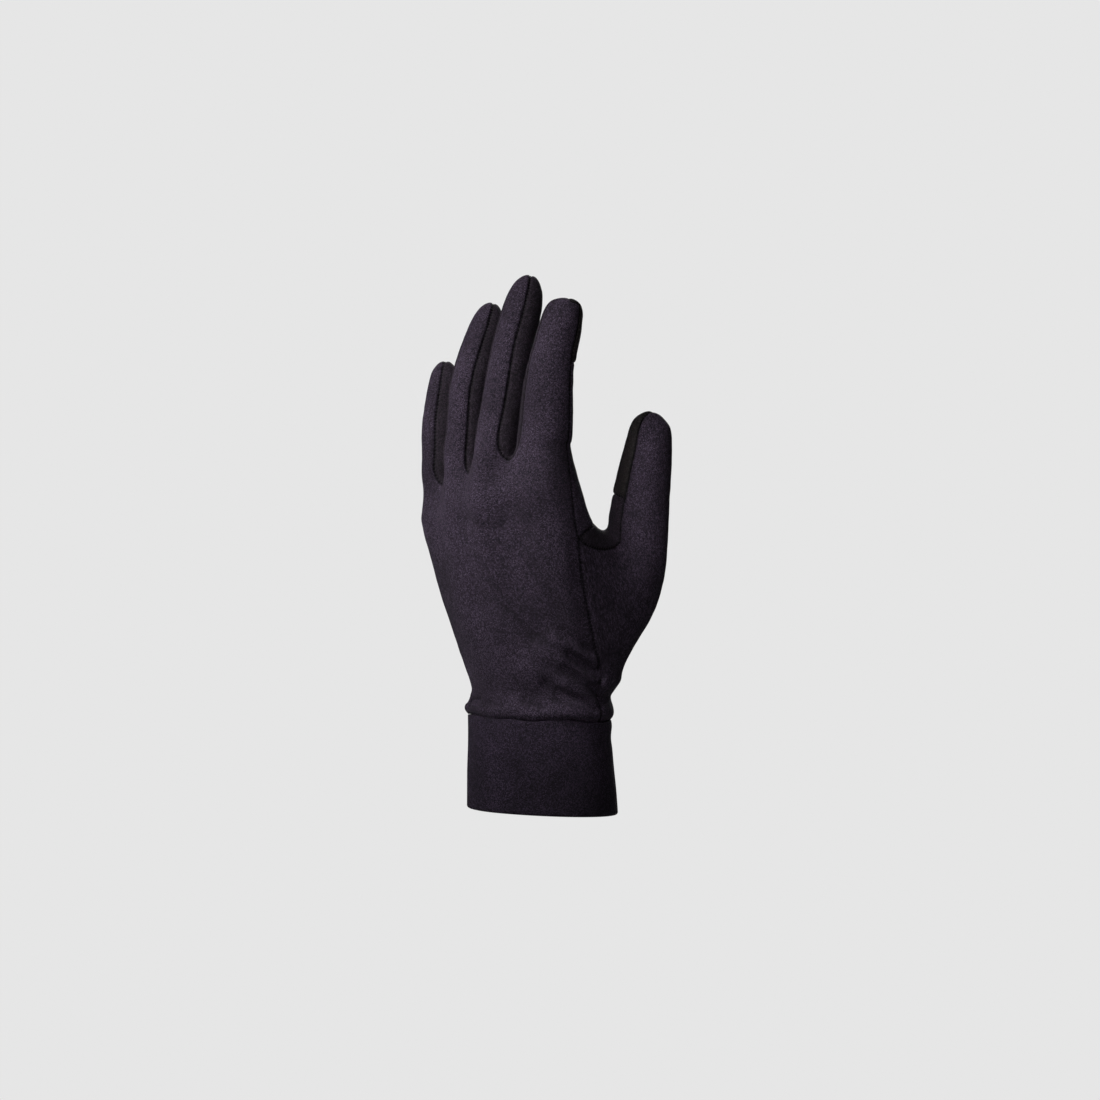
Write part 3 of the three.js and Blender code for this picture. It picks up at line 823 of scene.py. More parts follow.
def ripple(points: np.ndarray, size: float, pattern: Pattern) -> np.ndarray:
    """A smooth random value at each point.

    Args:
        points: The places in metres.
        size: How far apart its hills are.
        pattern: The pattern, which gives the seed.

    Returns:
        Values between about -0.5 and 0.5.
    """
    move = Vector([pattern.value * step for step in SEED_STEPS])
    values = (noise.noise(Vector(p) / size + move) for p in points.tolist())
    return np.fromiter(values, float, len(points))


def seam_sway(points: np.ndarray) -> np.ndarray:
    """Lets the seam between the cuff and the hand, and the fabric beside it, sway up and down.

    Args:
        points: Places of the hand or the cuff, in metres.

    Returns:
        The rise of each place.
    """
    away = np.abs(points[:, 2] - CUFF_TOP)
    radii = np.linalg.norm(points[:, :2], axis=1, keepdims=True)
    flat = points * np.array([1, 1, 0]) / radii * SEAM_REACH
    return SEAM_SWAY * ripple(flat, SWAY_SIZE, Pattern.SEAM_SWAY) * np.exp(-away / SWAY_REACH)


def quad_mesh(name: str, points: np.ndarray, quads: np.ndarray, uvs: np.ndarray) -> bpy.types.Mesh:
    """Makes a mesh of quads.

    Args:
        name: The mesh's name.
        points: One row of x, y, z for each point.
        quads: One row of four point numbers for each quad.
        uvs: The place of each corner of each quad in the flat fabric, in metres.

    Returns:
        The mesh, smooth but for its sharp rims.
    """
    mesh = bpy.data.meshes.new(name)
    mesh.vertices.add(len(points))
    mesh.vertices.foreach_set("co", points.astype(np.float32).ravel())
    mesh.loops.add(quads.size)
    mesh.loops.foreach_set("vertex_index", quads.astype(np.int32).ravel())
    mesh.polygons.add(len(quads))
    mesh.polygons.foreach_set("loop_start", np.arange(0, quads.size, 4, dtype=np.int32))
    mesh.update(calc_edges=True)
    mesh.validate()
    layer = mesh.uv_layers.new(name="weave")
    layer.data.foreach_set("uv", uvs.astype(np.float32).ravel())
    mesh.shade_smooth()
    mesh.set_sharp_from_angle(angle=math.radians(SHARP_ANGLE))
    return mesh


def add_object(name: str, mesh: bpy.types.Mesh) -> bpy.types.Object:
    """Puts a mesh into the scene as an object at the origin.

    Args:
        name: The object's name.
        mesh: Its mesh.

    Returns:
        The object.
    """
    obj = bpy.data.objects.new(name, mesh)
    bpy.context.scene.collection.objects.link(obj)
    return obj


def values_of(items: bpy.types.bpy_prop_collection, name: str, size: int, kind: type) -> np.ndarray:
    """Reads one value of all the items of a mesh.

    Args:
        items: The mesh's points, corners or faces.
        name: The value's name.
        size: How many numbers the value has.
        kind: The type of the numbers.

    Returns:
        One row of numbers for each item.
    """
    values = np.empty(len(items) * size, kind)
    items.foreach_get(name, values)
    return values.reshape(-1, size)


@dataclass
class HandSurface:
    """The smooth surface of the hand with its folds and seams, and the panels cut from it."""

    form: HandForm
    levels: int = 4
    wall: float = 0.0012
    patch_proud: float = 0.0004
    panel_gap: float = 0.00005
    groove_depth: float = 0.0008
    groove_width: float = 0.0006
    swell_high: float = 0.0001
    swell_width: float = 0.0026
    swell_steep: float = 1.6
    hem_depth: float = 0.0004
    hem_width: float = 0.0009
    hem_drop: float = 0.0004
    slack_high: float = 0.0005
    # The depth of a fold at which its painted shade is full.
    painted_shade_depth: float = 0.0022
    gusset_swell: float = 0.001
    gusset_reach: float = 0.004
    run_gap: float = 0.01
    slack_size: float = 0.017
    crinkle_high: float = 0.00016
    crinkle_size: float = 0.0045

    def __post_init__(self) -> None:
        """Smooths the cage, raises the folds and lays the seams in their grooves."""
        self._subdivide()
        self.normals = normals_of(self.points, self.quads)
        self.seams = self._find_seams()
        self._raise_folds()
        self._sink_seams()

    def _subdivide(self) -> None:
        """Fills points, quads, panel numbers and UVs with the smooth surface of the fitted cage."""
        cage = self.form.cage
        mesh = quad_mesh("cage", cage.fitted(), np.array(cage.quads), np.array(cage.uvs, float))
        numbers = np.array([PANELS.index(p) for p in cage.panels], np.int32)
        mesh.polygons.foreach_set("material_index", numbers)
        if "sharp_edge" in mesh.attributes:
            mesh.attributes.remove(mesh.attributes["sharp_edge"])
        obj = add_object("cage", mesh)
        smooth = obj.modifiers.new("smooth", "SUBSURF")
        smooth.levels = smooth.render_levels = self.levels
        smooth.use_limit_surface = True
        made = obj.evaluated_get(bpy.context.evaluated_depsgraph_get()).to_mesh()
        self.points = values_of(made.vertices, "co", 3, np.float32).astype(float)
        self.quads = values_of(made.loops, "vertex_index", 1, np.int32).reshape(-1, 4)
        self.uvs = values_of(made.uv_layers[0].data, "uv", 2, np.float32).reshape(-1, 4, 2)
        self.panel_numbers = values_of(made.polygons, "material_index", 1, np.int32).ravel()
        bpy.data.objects.remove(obj)
        bpy.data.meshes.remove(mesh)

    def _seam_family(self, pair: tuple) -> Seam:
        """Finds the family of a seam.

        Args:
            pair: The numbers of the two panels that meet there.

        Returns:
            The family.
        """
        panels = {PANELS[k] for k in pair}
        if panels & set(FOURCHETTES):
            return Seam.FINGERS
        if panels in ({Panel.THUMB_FRONT, Panel.THUMB_TIP}, {Panel.PALM, Panel.INDEX_TIP}):
            return Seam.PATCHES
        return Seam.THUMB if panels & set(THUMB_PANELS) else Seam.SIDES

    def _find_seams(self) -> list:
        """Finds the lines where two panels meet, and in self.hem the points of the edge at the cuff.

        Returns:
            For each line, its family and its point numbers in order.
        """
        sides: dict[tuple, list] = {}
        for number, quad in zip(self.panel_numbers.tolist(), self.quads.tolist()):
            for k, a in enumerate(quad):
                b = quad[(k + 1) % 4]
                sides.setdefault(edge_of(a, b), []).append(number)
        by_pair: dict[tuple, list] = {}
        hem = set()
        for edge, numbers in sides.items():
            if len(numbers) == 1:
                hem.update(edge)
            elif numbers[0] != numbers[1]:
                by_pair.setdefault(tuple(sorted(numbers)), []).append(edge)
        self.hem = np.array(sorted(hem))
        lines = []
        for pair, edges in by_pair.items():
            for chain in chains_of(edges):
                lines.append((self._seam_family(pair), np.array(chain)))
        return lines

    def _lift_of(self, folds: tuple) -> np.ndarray:
        """Measures how far folds lift the surface.

        Args:
            folds: The folds.

        Returns:
            The lift of each point along its normal.
        """
        lift = np.zeros(len(self.points))
        for fold in folds:
            a, b = (self.form.body_place(*place) for place in (fold.start, fold.end))
            line = b - a
            share = np.clip((self.points - a) @ line / line.dot(line), 0, 1)
            away = np.linalg.norm(self.points - a - share[:, None] * line, axis=1) / fold.wide
            lift += fold.high * np.exp(-(away**2))
        return lift

    def _raise_folds(self) -> None:
        """Raises the folds, and the finer creases and slack of the outside."""
        slack = self.slack_high * ripple(self.points, self.slack_size, Pattern.SLACK)
        broad = self._lift_of(FOLDS) + slack
        self.points += self.normals * broad[:, None]
        self.normals = normals_of(self.points, self.quads)
        self.inner = self.points - self.normals * self.wall
        # Painted shade: how deep each point lies in the folds and creases, 0 to 1; the finish darkens
        # the colour by it.
        self.painted_fold_shade = np.clip(-self._lift_of(FOLDS + CREASES) / self.painted_shade_depth, 0, 1)
        crinkles = self.crinkle_high * ripple(self.points, self.crinkle_size, Pattern.CRINKLE)
        fine = self._lift_of(CREASES) + crinkles
        self.points += self.normals * fine[:, None]

    def _on_gussets(self) -> np.ndarray:
        """Finds the gussets between the fingers.

        Returns:
            For each point, whether it belongs to one.
        """
        gussets = [PANELS.index(panel) for panel in FOURCHETTES]
        marked = np.zeros(len(self.points), bool)
        marked[self.quads[np.isin(self.panel_numbers, gussets)]] = True
        return marked

    def _seam_places(self) -> tuple:
        """Finds where each point lies by the nearest seam.

        Returns:
            For each point, its distance from the seam and how far along the seams its foot lies.
        """
        entries, run = [], 0.0
        for _, chain in self.seams:
            for k, p in enumerate(chain):
                run += np.linalg.norm(self.points[p] - self.points[chain[k - 1]]) if k else self.run_gap
                entries.append((self.points[p], run))
        tree = kdtree.KDTree(len(entries))
        for k, (place, _) in enumerate(entries):
            tree.insert(place, k)
        tree.balance()
        away, runs = np.empty(len(self.points)), np.empty(len(self.points))
        for k, place in enumerate(self.points.tolist()):
            _, found, away[k] = tree.find(place)
            runs[k] = entries[found][1]
        return away, runs

    def _sink_seams(self) -> None:
        """Sinks the seams into grooves between soft swells, and rolls the hem in over the cuff."""
        away, runs = self._seam_places()
        near = np.exp(-((away / self.groove_width) ** 2))
        swell = np.exp(-(((away - self.swell_width) / self.swell_width * self.swell_steep) ** 2))
        hem = self.points[self.hem]
        up = self.points[:, 2] - hem[:, 2].mean()
        rolled = np.exp(-((up / self.hem_width) ** 2))
        sink = swell * self.swell_high - near * self.groove_depth - rolled * self.hem_depth
        full = 1 - np.exp(-((away / self.gusset_reach) ** 2))
        sink += np.where(self._on_gussets(), full * self.gusset_swell, 0)
        self.points += self.normals * sink[:, None]
        sway = seam_sway(self.points)
        self.points[:, 2] += sway - rolled * self.hem_drop
        self.inner[:, 2] += sway - rolled * self.hem_drop
        self.normals = normals_of(self.points, self.quads)
        self.seam_near, self.seam_run = near, runs
        self.lines = [SeamLine(f, self.points[c], self.normals[c]) for f, c in self.seams]

    def cut(self, panel: Panel) -> bpy.types.Object:
        """Cuts one panel out of the surface as a closed solid of the fabric's thickness.

        Args:
            panel: The panel.

        Returns:
            Its object, with a UV map along its wales, the attributes of its seams and the mask of the
            painted shade in its folds.
        """
        own = self.panel_numbers == PANELS.index(panel)
        used, local = np.unique(self.quads[own], return_inverse=True)
        quads, uvs = local.reshape(-1, 4), self.uvs[own]
        proud = self.patch_proud if panel in PATCHES else 0.0
        outer = self.points[used] + self.normals[used] * proud
        inner = self.inner[used]
        starts, ends = quads.ravel(), np.roll(quads, -1, 1).ravel()
        keys = np.sort(np.stack([starts, ends], 1), 1)
        _, first, times = np.unique(keys, axis=0, return_index=True, return_counts=True)
        rim = first[times == 1]
        pull = np.zeros_like(outer)
        for k in range(4):
            np.add.at(pull, quads[:, k], outer[quads].mean(1) - outer[quads[:, k]])
        edge = np.unique(np.concatenate([starts[rim], ends[rim]]))
        length = np.maximum(np.linalg.norm(pull[edge], axis=1, keepdims=True), TINY)
        drawn = pull[edge] / length * self.panel_gap
        outer[edge] += drawn
        inner[edge] += drawn
        count = len(used)
        a, b = starts[rim], ends[rim]
        walls = np.stack([b, a, a + count, b + count], 1)
        flat, last = uvs.reshape(-1, 2), np.roll(uvs, -1, 1).reshape(-1, 2)
        wall_uvs = np.stack([last[rim], flat[rim], flat[rim], last[rim]], 1)
        faces = np.concatenate([quads, quads[:, ::-1] + count, walls])
        mesh = quad_mesh(
            panel.value + "_fabric",
            np.concatenate([outer, inner]),
            faces,
            np.concatenate([uvs, uvs[:, ::-1], wall_uvs]),
        )
        runs, plain = self.seam_run[used], np.zeros(count)
        # The seams' nearness and the folds' depth go to the finish, which paints shade into the seams'
        # grooves and the folds; the inside gets neither.
        for name, outside, inside in (
            ("seam_near", self.seam_near[used], plain),
            ("seam_run", runs, runs),
            ("painted_fold_shade", self.painted_fold_shade[used], plain),
        ):
            attribute = mesh.attributes.new(name, "FLOAT", "POINT")
            attribute.data.foreach_set("value", np.concatenate([outside, inside]).astype(np.float32))
        return add_object(panel.value + "_fabric", mesh)


@dataclass
class CuffBand:
    """The cuff: a band folded in two, with a rounded hem.

    The knot is where the thick end of the thumb's side seam swells the band's top, at an angle in
    degrees from +X, with a pinch below it.
    """

    height: float = CUFF_TOP
    hem_width: float = 0.077
    hem_depth: float = 0.054
    top_width: float = 0.0735
    top_depth: float = 0.051
    lean: float = -0.003
    wall: float = 0.0024
    around: int = 288
    rows: int = 44
    bend_rows: int = 8
    slack_high: float = 0.0009
    slack_size: float = 0.022
    slack_stretch: float = 0.75
    gather_high: float = 0.0003
    gather_size: float = 0.0042
    gather_stretch: float = 0.12
    gather_reach: float = 0.006
    corner: float = 0.0003
    corner_rows: int = 3
    knot_angle: float = 40
    knot_spread: float = 28
    knot_swell: float = 0.0009
    swell_below: float = 0.0022
    swell_width: float = 0.0026
    knot_pinch: float = 0.0007
    pinch_below: float = 0.0085
    pinch_width: float = 0.003

    def _profile(self) -> list:
        """Draws the band's section, from its outer top down round the hem and up inside.

        Returns:
            The height and the depth in the wall of each point.
        """
        half, corner, rows = self.wall / 2, self.corner, self.corner_rows
        high = self.height - corner
        wall = [high - k / self.rows * (high - half) for k in range(self.rows + 1)]
        bend = [math.pi * k / self.bend_rows for k in range(1, self.bend_rows)]
        turns = [math.pi / 2 * k / rows for k in range(rows + 1)]
        outer = [(z, 0.0) for z in wall]
        hem = [(half - half * math.sin(a), half - half * math.cos(a)) for a in bend]
        inner = [(z, self.wall) for z in reversed(wall)]
        back = [(high + corner * math.sin(a), self.wall - corner * (1 - math.cos(a))) for a in turns[1:]]
        front = [(high + corner * math.cos(a), corner * (1 - math.sin(a))) for a in turns[:-1]]
        return outer + hem + inner + back + front

    def build(self) -> bpy.types.Object:
        """Builds the band.

        Returns:
            Its object, with a UV map round the band and up it.
        """
        profile = self._profile()
        turn = 2 * math.pi * np.arange(self.around) / self.around
        rings, rises, along = [], [], 0.0
        for k, (z, inset) in enumerate(profile):
            if k:
                along += math.hypot(z - profile[k - 1][0], inset - profile[k - 1][1])
            up = z / self.height
            wide = (self.hem_width + (self.top_width - self.hem_width) * up) / 2 - inset
            deep = (self.hem_depth + (self.top_depth - self.hem_depth) * up) / 2 - inset
            x = wide * np.cos(turn) + up * self.lean
            rings.append(np.stack([x, deep * np.sin(turn), np.full(self.around, z)], 1))
            rises.append(along)
        points = np.concatenate(rings)
        count, sections = self.around, len(profile)
        k = np.repeat(np.arange(sections), count)
        j = np.tile(np.arange(count), sections)
        low, side = (k + 1) % sections, (j + 1) % count
        quads = np.stack([k * count + j, low * count + j, low * count + side, k * count + side], 1)
        rise = np.array([*rises, rises[-1] + self.wall / self.bend_rows])
        step = math.pi * (self.hem_width + self.hem_depth) / 2 / count
        corners = ((j, k), (j, k + 1), (j + 1, k + 1), (j + 1, k))
        uvs = np.stack([np.stack([across * step, rise[row]], 1) for across, row in corners], 1)
        mesh = quad_mesh("cuff_fabric", self._loosened(points), quads, uvs)
        return add_object("cuff_fabric", mesh)

    def _loosened(self, points: np.ndarray) -> np.ndarray:
        """Loosens the band with slack, gathers below its top seam and the knot of the thumb's seam.

        Args:
            points: The band's points.

        Returns:
            The moved points.
        """
        out = points * np.array([1, 1, 0])
        out[:, 0] -= points[:, 2] / self.height * self.lean
        out /= np.linalg.norm(out, axis=1, keepdims=True)
        flat = points * np.array([1, 1, self.slack_stretch])
        slack = self.slack_high * ripple(flat, self.slack_size, Pattern.CUFF_SLACK)
        below = self.height - points[:, 2]
        gathered = points * np.array([1, 1, self.gather_stretch])
        gathers = self.gather_high * ripple(gathered, self.gather_size, Pattern.GATHERS)
        gathers *= np.exp(-below / self.gather_reach)
        turn = np.degrees(np.arctan2(out[:, 1], out[:, 0])) - self.knot_angle
        swell = self.knot_swell * np.exp(-(((below - self.swell_below) / self.swell_width) ** 2))
        pinch = self.knot_pinch * np.exp(-(((below - self.pinch_below) / self.pinch_width) ** 2))
        knot = (swell - pinch) * np.exp(-((turn / self.knot_spread) ** 2))
        moved = points + out * (slack + gathers + knot)[:, None]
        moved[:, 2] += seam_sway(points)
        return moved


@dataclass
class Stitching:
    """A run of stitches along seams, laid out by Geometry Nodes."""

    family: Seam
    pitch: float = 0.0017
    length: float = 0.00095
    thickness: float = 0.00036
    proud: float = 0.0004
    vary: tuple = (0.8, 1.15)
    segments: int = 6
    rings: int = 5
    seed: int = 11

    def build(self, lines: list, material: bpy.types.Material) -> bpy.types.Object:
        """Lays stitches along the lines.

        Args:
            lines: The seam lines of this family.
            material: The thread's finish.

        Returns:
            The stitches as one mesh.
        """
        points, edges, normals = [], [], []
        for line in lines:
            start = len(points)
            points.extend((line.points + line.normals * self.proud).tolist())
            normals.extend(line.normals.tolist())
            edges.extend((start + k, start + k + 1) for k in range(len(line.points) - 1))
        path = bpy.data.meshes.new(self.family.value + "_path")
        path.from_pydata(points, edges, [])
        facing = path.attributes.new("facing", "FLOAT_VECTOR", "POINT")
        facing.data.foreach_set("vector", np.array(normals, np.float32).ravel())
        obj = add_object(self.family.value, path)
        tree = self._tree(material)
        modifier = obj.modifiers.new("stitches", "NODES")
        modifier.node_group = tree
        sizes = {"Pitch": self.pitch, "Length": self.length, "Thickness": self.thickness}
        values = {**sizes, "Seed": self.seed}
        for item in tree.interface.items_tree:
            if item.name in values:
                modifier[item.identifier] = values[item.name]
        mesh = bpy.data.meshes.new_from_object(obj.evaluated_get(bpy.context.evaluated_depsgraph_get()))
        obj.modifiers.remove(modifier)
        obj.data = mesh
        mesh.name = self.family.value
        bpy.data.meshes.remove(path)
        bpy.data.node_groups.remove(tree)
        mesh.shade_smooth()
        return obj

    def _tree(self, material: bpy.types.Material) -> bpy.types.GeometryNodeTree:
        """The node tree that puts a stitch on every pitch of a path.

        Args:
            material: The thread's finish.

        Returns:
            The tree, with the inputs Pitch, Length, Thickness and Seed.
        """
        tree = bpy.data.node_groups.new(self.family.value, "GeometryNodeTree")
        face = tree.interface
        face.new_socket("Geometry", in_out="INPUT", socket_type="NodeSocketGeometry")
        for name in ("Pitch", "Length", "Thickness"):
            face.new_socket(name, in_out="INPUT", socket_type="NodeSocketFloat")
        face.new_socket("Seed", in_out="INPUT", socket_type="NodeSocketInt")
        face.new_socket("Geometry", in_out="OUTPUT", socket_type="NodeSocketGeometry")
        new, link = tree.nodes.new, tree.links.new
        given, result = new("NodeGroupInput"), new("NodeGroupOutput")
        curve, resample = new("GeometryNodeMeshToCurve"), new("GeometryNodeResampleCurve")
        resample.mode = "LENGTH"
        stitch, size = new("GeometryNodeMeshUVSphere"), new("ShaderNodeCombineXYZ")
        stitch.inputs["Segments"].default_value = self.segments
        stitch.inputs["Rings"].default_value = self.rings
        stitch.inputs["Radius"].default_value = 0.5
        shape, place = new("GeometryNodeTransform"), new("GeometryNodeInstanceOnPoints")
        tangent, facing = new("GeometryNodeInputTangent"), new("GeometryNodeInputNamedAttribute")
        facing.data_type = "FLOAT_VECTOR"
        facing.inputs["Name"].default_value = "facing"
        ahead, upright = (new("FunctionNodeAlignRotationToVector") for _ in range(2))
        ahead.axis, upright.axis, upright.pivot_axis = "X", "Z", "X"
        vary, scale = new("FunctionNodeRandomValue"), new("ShaderNodeVectorMath")
        vary.data_type = "FLOAT"
        vary.inputs[2].default_value, vary.inputs[3].default_value = self.vary
        scale.operation = "SCALE"
        scale.inputs[0].default_value = (1, 1, 1)
        realize, dress = new("GeometryNodeRealizeInstances"), new("GeometryNodeSetMaterial")
        dress.inputs["Material"].default_value = material
        for source, name, target, socket in (
            (given, "Geometry", curve, "Mesh"),
            (curve, "Curve", resample, "Curve"),
            (given, "Pitch", resample, "Length"),
            (given, "Length", size, "X"),
            (given, "Thickness", size, "Y"),
            (given, "Thickness", size, "Z"),
            (stitch, "Mesh", shape, "Geometry"),
            (size, "Vector", shape, "Scale"),
            (resample, "Curve", place, "Points"),
            (shape, "Geometry", place, "Instance"),
            (tangent, "Tangent", ahead, "Vector"),
            (ahead, "Rotation", upright, "Rotation"),
            (upright, "Rotation", place, "Rotation"),
            (place, "Instances", realize, "Geometry"),
            (realize, "Geometry", dress, "Geometry"),
            (dress, "Geometry", result, "Geometry"),
        ):
            link(source.outputs[name], target.inputs[socket])
        link(facing.outputs["Attribute"], upright.inputs["Vector"])
        link(given.outputs["Seed"], vary.inputs["Seed"])
        link(vary.outputs[1], scale.inputs["Scale"])
        link(scale.outputs[0], place.inputs["Scale"])
        return tree


class Nodes:
    """A short way to write the nodes of a material or of the world."""

    def __init__(self, tree: bpy.types.NodeTree) -> None:
        """Takes the tree."""
        self.tree = tree

    def make(self, kind: str) -> bpy.types.Node:
        """Adds a node."""
        return self.tree.nodes.new(kind)

    def link(self, source: object, target: bpy.types.NodeSocket) -> None:
        """Feeds a socket.

        Args:
            source: A socket to link, or a number or colour to set.
            target: The socket that takes it.
        """
        if isinstance(source, bpy.types.NodeSocket):
            self.tree.links.new(source, target)
        else:
            target.default_value = source

    def math(self, operation: str, *values: object) -> bpy.types.NodeSocket:
        """Adds a Math node.

        Args:
            operation: What it does.
            values: Its sockets or numbers.

        Returns:
            The socket of its result.
        """
        node = self.make("ShaderNodeMath")
        node.operation = operation
        for value, socket in zip(values, node.inputs):
            self.link(value, socket)
        return node.outputs[0]

    def times(self, one: object, two: object) -> bpy.types.NodeSocket:
        """The product of two values."""
        return self.math("MULTIPLY", one, two)

    def line(self, value: object, slope: object, start: object) -> bpy.types.NodeSocket:
        """A value times a slope, added to a start."""
        return self.math("MULTIPLY_ADD", value, slope, start)

    def wave(self, value: object, pitch: float = 1) -> bpy.types.NodeSocket:
        """A sine that repeats with each pitch of a value."""
        return self.math("SINE", self.times(value, 2 * math.pi / pitch))

    def place(self, kind: str) -> bpy.types.NodeSocket:
        """The place on the surface, by the kind of its coordinates."""
        return self.make("ShaderNodeTexCoord").outputs[kind]

    def attribute(self, name: str) -> bpy.types.NodeSocket:
        """Reads an attribute.

        Args:
            name: The attribute's name.

        Returns:
            The socket of its value.
        """
        node = self.make("ShaderNodeAttribute")
        node.attribute_name = name
        return node.outputs["Fac"]

    def noise(self, size: float, detail: float, roughness: float = 0.5) -> bpy.types.NodeSocket:
        """Adds a noise texture on Object coordinates.

        Args:
            size: The size of its hills in metres.
            detail: How many finer noises it adds.
            roughness: How strong these are.

        Returns:
            The socket of its value, 0 to 1.
        """
        node = self.make("ShaderNodeTexNoise")
        self.link(self.place("Object"), node.inputs["Vector"])
        node.inputs["Scale"].default_value = 1 / size
        node.inputs["Detail"].default_value = detail
        node.inputs["Roughness"].default_value = roughness
        return node.outputs["Fac"]

    def ramp(self, value: object, low: float, high_at: float, high: float = 1) -> bpy.types.NodeSocket:
        """Spreads a value.

        Args:
            value: The value.
            low: Where the result is 0.
            high_at: Where it is highest.
            high: Its highest value.

        Returns:
            The socket of the result.
        """
        node = self.make("ShaderNodeMapRange")
        for k, number in enumerate((value, low, high_at, 0, high)):
            self.link(number, node.inputs[k])
        return node.outputs[0]

    def blend(self, share: object, one: object, two: object) -> bpy.types.NodeSocket:
        """Mixes two colours.

        Args:
            share: The share of the second colour.
            one: The first colour.
            two: The second colour.

        Returns:
            The socket of the mix.
        """
        node = self.make("ShaderNodeMix")
        node.data_type = "RGBA"
        colours = [s for s in node.inputs if s.type == "RGBA"]
        self.link(share, node.inputs[0])
        self.link(one, colours[0])
        self.link(two, colours[1])
        return next(s for s in node.outputs if s.type == "RGBA")

    def bump(self, height: object, distance: float = 1, strength: float = 1) -> bpy.types.NodeSocket:
        """Gives the surface a relief.

        Args:
            height: The relief's height.
            distance: How many metres a height of 1 is.
            strength: The relief's strength, 0 to 1.

        Returns:
            The socket of the surface's normal.
        """
        node = self.make("ShaderNodeBump")
        node.inputs["Distance"].default_value = distance
        node.inputs["Strength"].default_value = strength
        self.link(height, node.inputs["Height"])
        return node.outputs[0]


def new_finish(name: str, specular: float) -> tuple:
    """Starts a material.

    Args:
        name: Its name.
        specular: The level of its shine.

    Returns:
        The material, a writer of its nodes and the inputs of its shader.
    """
    material = bpy.data.materials.new(name)
    material.use_nodes = True
    inputs = material.node_tree.nodes["Principled BSDF"].inputs
    inputs["Specular IOR Level"].default_value = specular
    return material, Nodes(material.node_tree), inputs


@dataclass(frozen=True)
class KnitFinish:
    """A fine jersey knit with a mottled yarn, its nap, and painted shade in its seams and folds.

    The colour mixes yarn and fleck: fleck_range is the range of the noise that counts, fleck_share how
    much of the mottle is noise and not the tone of single loops, and contrast the power that thins
    out the light flecks. The clouds darken the tone at random; the other shades are painted shade,
    which darkens the gaps between loops, the seams' grooves, the puckers along them and the folds.
    """

    name: str
    yarn: tuple
    fleck: tuple
    dark_tone_and_shade: tuple
    roughness: float = 0.78
    rough_vary: float = 0.1
    specular: float = 0.15
    sheen: float = 0.04
    sheen_roughness: float = 0.45
    sheen_tint: tuple = (0.62, 0.55, 0.68, 1)
    wale: float = 0.0005
    course: float = 0.00046
    loop_height: float = 0.7
    ditch_height: float = 0.6
    fleck_size: float = 0.00032
    fleck_roughness: float = 0.7
    fleck_range: tuple = (0.4, 0.6)
    fleck_share: float = 0.5
    contrast: float = 2.2
    cloud_size: float = 0.028
    cloud_range: tuple = (0.35, 0.7)
    cloud_shade: float = 0.55
    loop_shade: float = 0.35
    seam_shade: float = 0.78
    pucker_shade: float = 0.2
    fold_shade: float = 0.6
    knit_depth: float = 0.00012
    nap_depth: float = 0.00025
    pucker_pitch: float = 0.0017
    pucker_depth: float = 0.0004
    relief: float = 0.8

    def build(self) -> bpy.types.Material:
        """Builds the finish.

        Returns:
            A material whose weave follows the piece's UV map and its attributes seam_near, seam_run
            and painted_fold_shade.
        """
        material, nodes, inputs = new_finish(self.name, self.specular)
        inputs["Sheen Weight"].default_value = self.sheen
        inputs["Sheen Roughness"].default_value = self.sheen_roughness
        inputs["Sheen Tint"].default_value = self.sheen_tint
        knit, loop_tone = self._knit(nodes)
        cloud = nodes.noise(self.cloud_size, detail=3)
        fleck = nodes.noise(self.fleck_size, detail=2, roughness=self.fleck_roughness)
        near = nodes.attribute("seam_near")
        wave = nodes.wave(nodes.attribute("seam_run"), self.pucker_pitch)
        loops = nodes.times(loop_tone, 1 - self.fleck_share)
        mottle = nodes.line(nodes.ramp(fleck, *self.fleck_range), self.fleck_share, loops)
        colour = nodes.blend(nodes.math("POWER", mottle, self.contrast), self.yarn, self.fleck)
        # The first shade is the yarn's random darker clouds; the others are painted shade.
        for shade in (
            nodes.ramp(cloud, *self.cloud_range, high=self.cloud_shade),
            # Painted shade in the hollows between the knit's loops.
            nodes.times(nodes.math("SUBTRACT", 1, knit), self.loop_shade),
            # Painted shade in the seams' grooves, darker at each pucker.
            nodes.times(near, nodes.line(wave, self.pucker_shade, self.seam_shade)),
            # Painted shade in the folds and creases.
            nodes.times(nodes.attribute("painted_fold_shade"), self.fold_shade),
        ):
            colour = nodes.blend(shade, colour, self.dark_tone_and_shade)
        nodes.link(colour, inputs["Base Color"])
        rough = nodes.line(cloud, 2 * self.rough_vary, self.roughness - self.rough_vary)
        nodes.link(rough, inputs["Roughness"])
        pucker = nodes.times(nodes.times(wave, near), self.pucker_depth)
        height = nodes.line(fleck, self.nap_depth, nodes.line(knit, self.knit_depth, pucker))
        nodes.link(nodes.bump(height, strength=self.relief), inputs["Normal"])
        return material

    def _knit(self, nodes: Nodes) -> tuple:
        """The knit's loops, in columns of small Vs.

        Args:
            nodes: The material's node builder.

        Returns:
            The sockets of the height of the surface, 0 to 1, and of each loop's own tone, 0 to 1.
        """
        flat = nodes.make("ShaderNodeSeparateXYZ")
        nodes.link(nodes.place("UV"), flat.inputs[0])
        across = nodes.times(flat.outputs[0], 1 / self.wale)
        column = nodes.math("ABSOLUTE", nodes.math("SUBTRACT", nodes.math("FRACT", across), 0.5))
        rise = nodes.line(flat.outputs[1], 1 / self.course, column)
        loop = nodes.line(nodes.wave(rise), 0.25, 0.5)
        ditch = nodes.times(nodes.wave(column), 0.5)
        cell = nodes.make("ShaderNodeCombineXYZ")
        nodes.link(nodes.math("FLOOR", across), cell.inputs[0])
        nodes.link(nodes.math("FLOOR", rise), cell.inputs[1])
        tone = nodes.make("ShaderNodeTexWhiteNoise")
        nodes.link(cell.outputs[0], tone.inputs["Vector"])
        height = nodes.line(ditch, self.ditch_height, nodes.times(loop, self.loop_height))
        return height, tone.outputs["Value"]


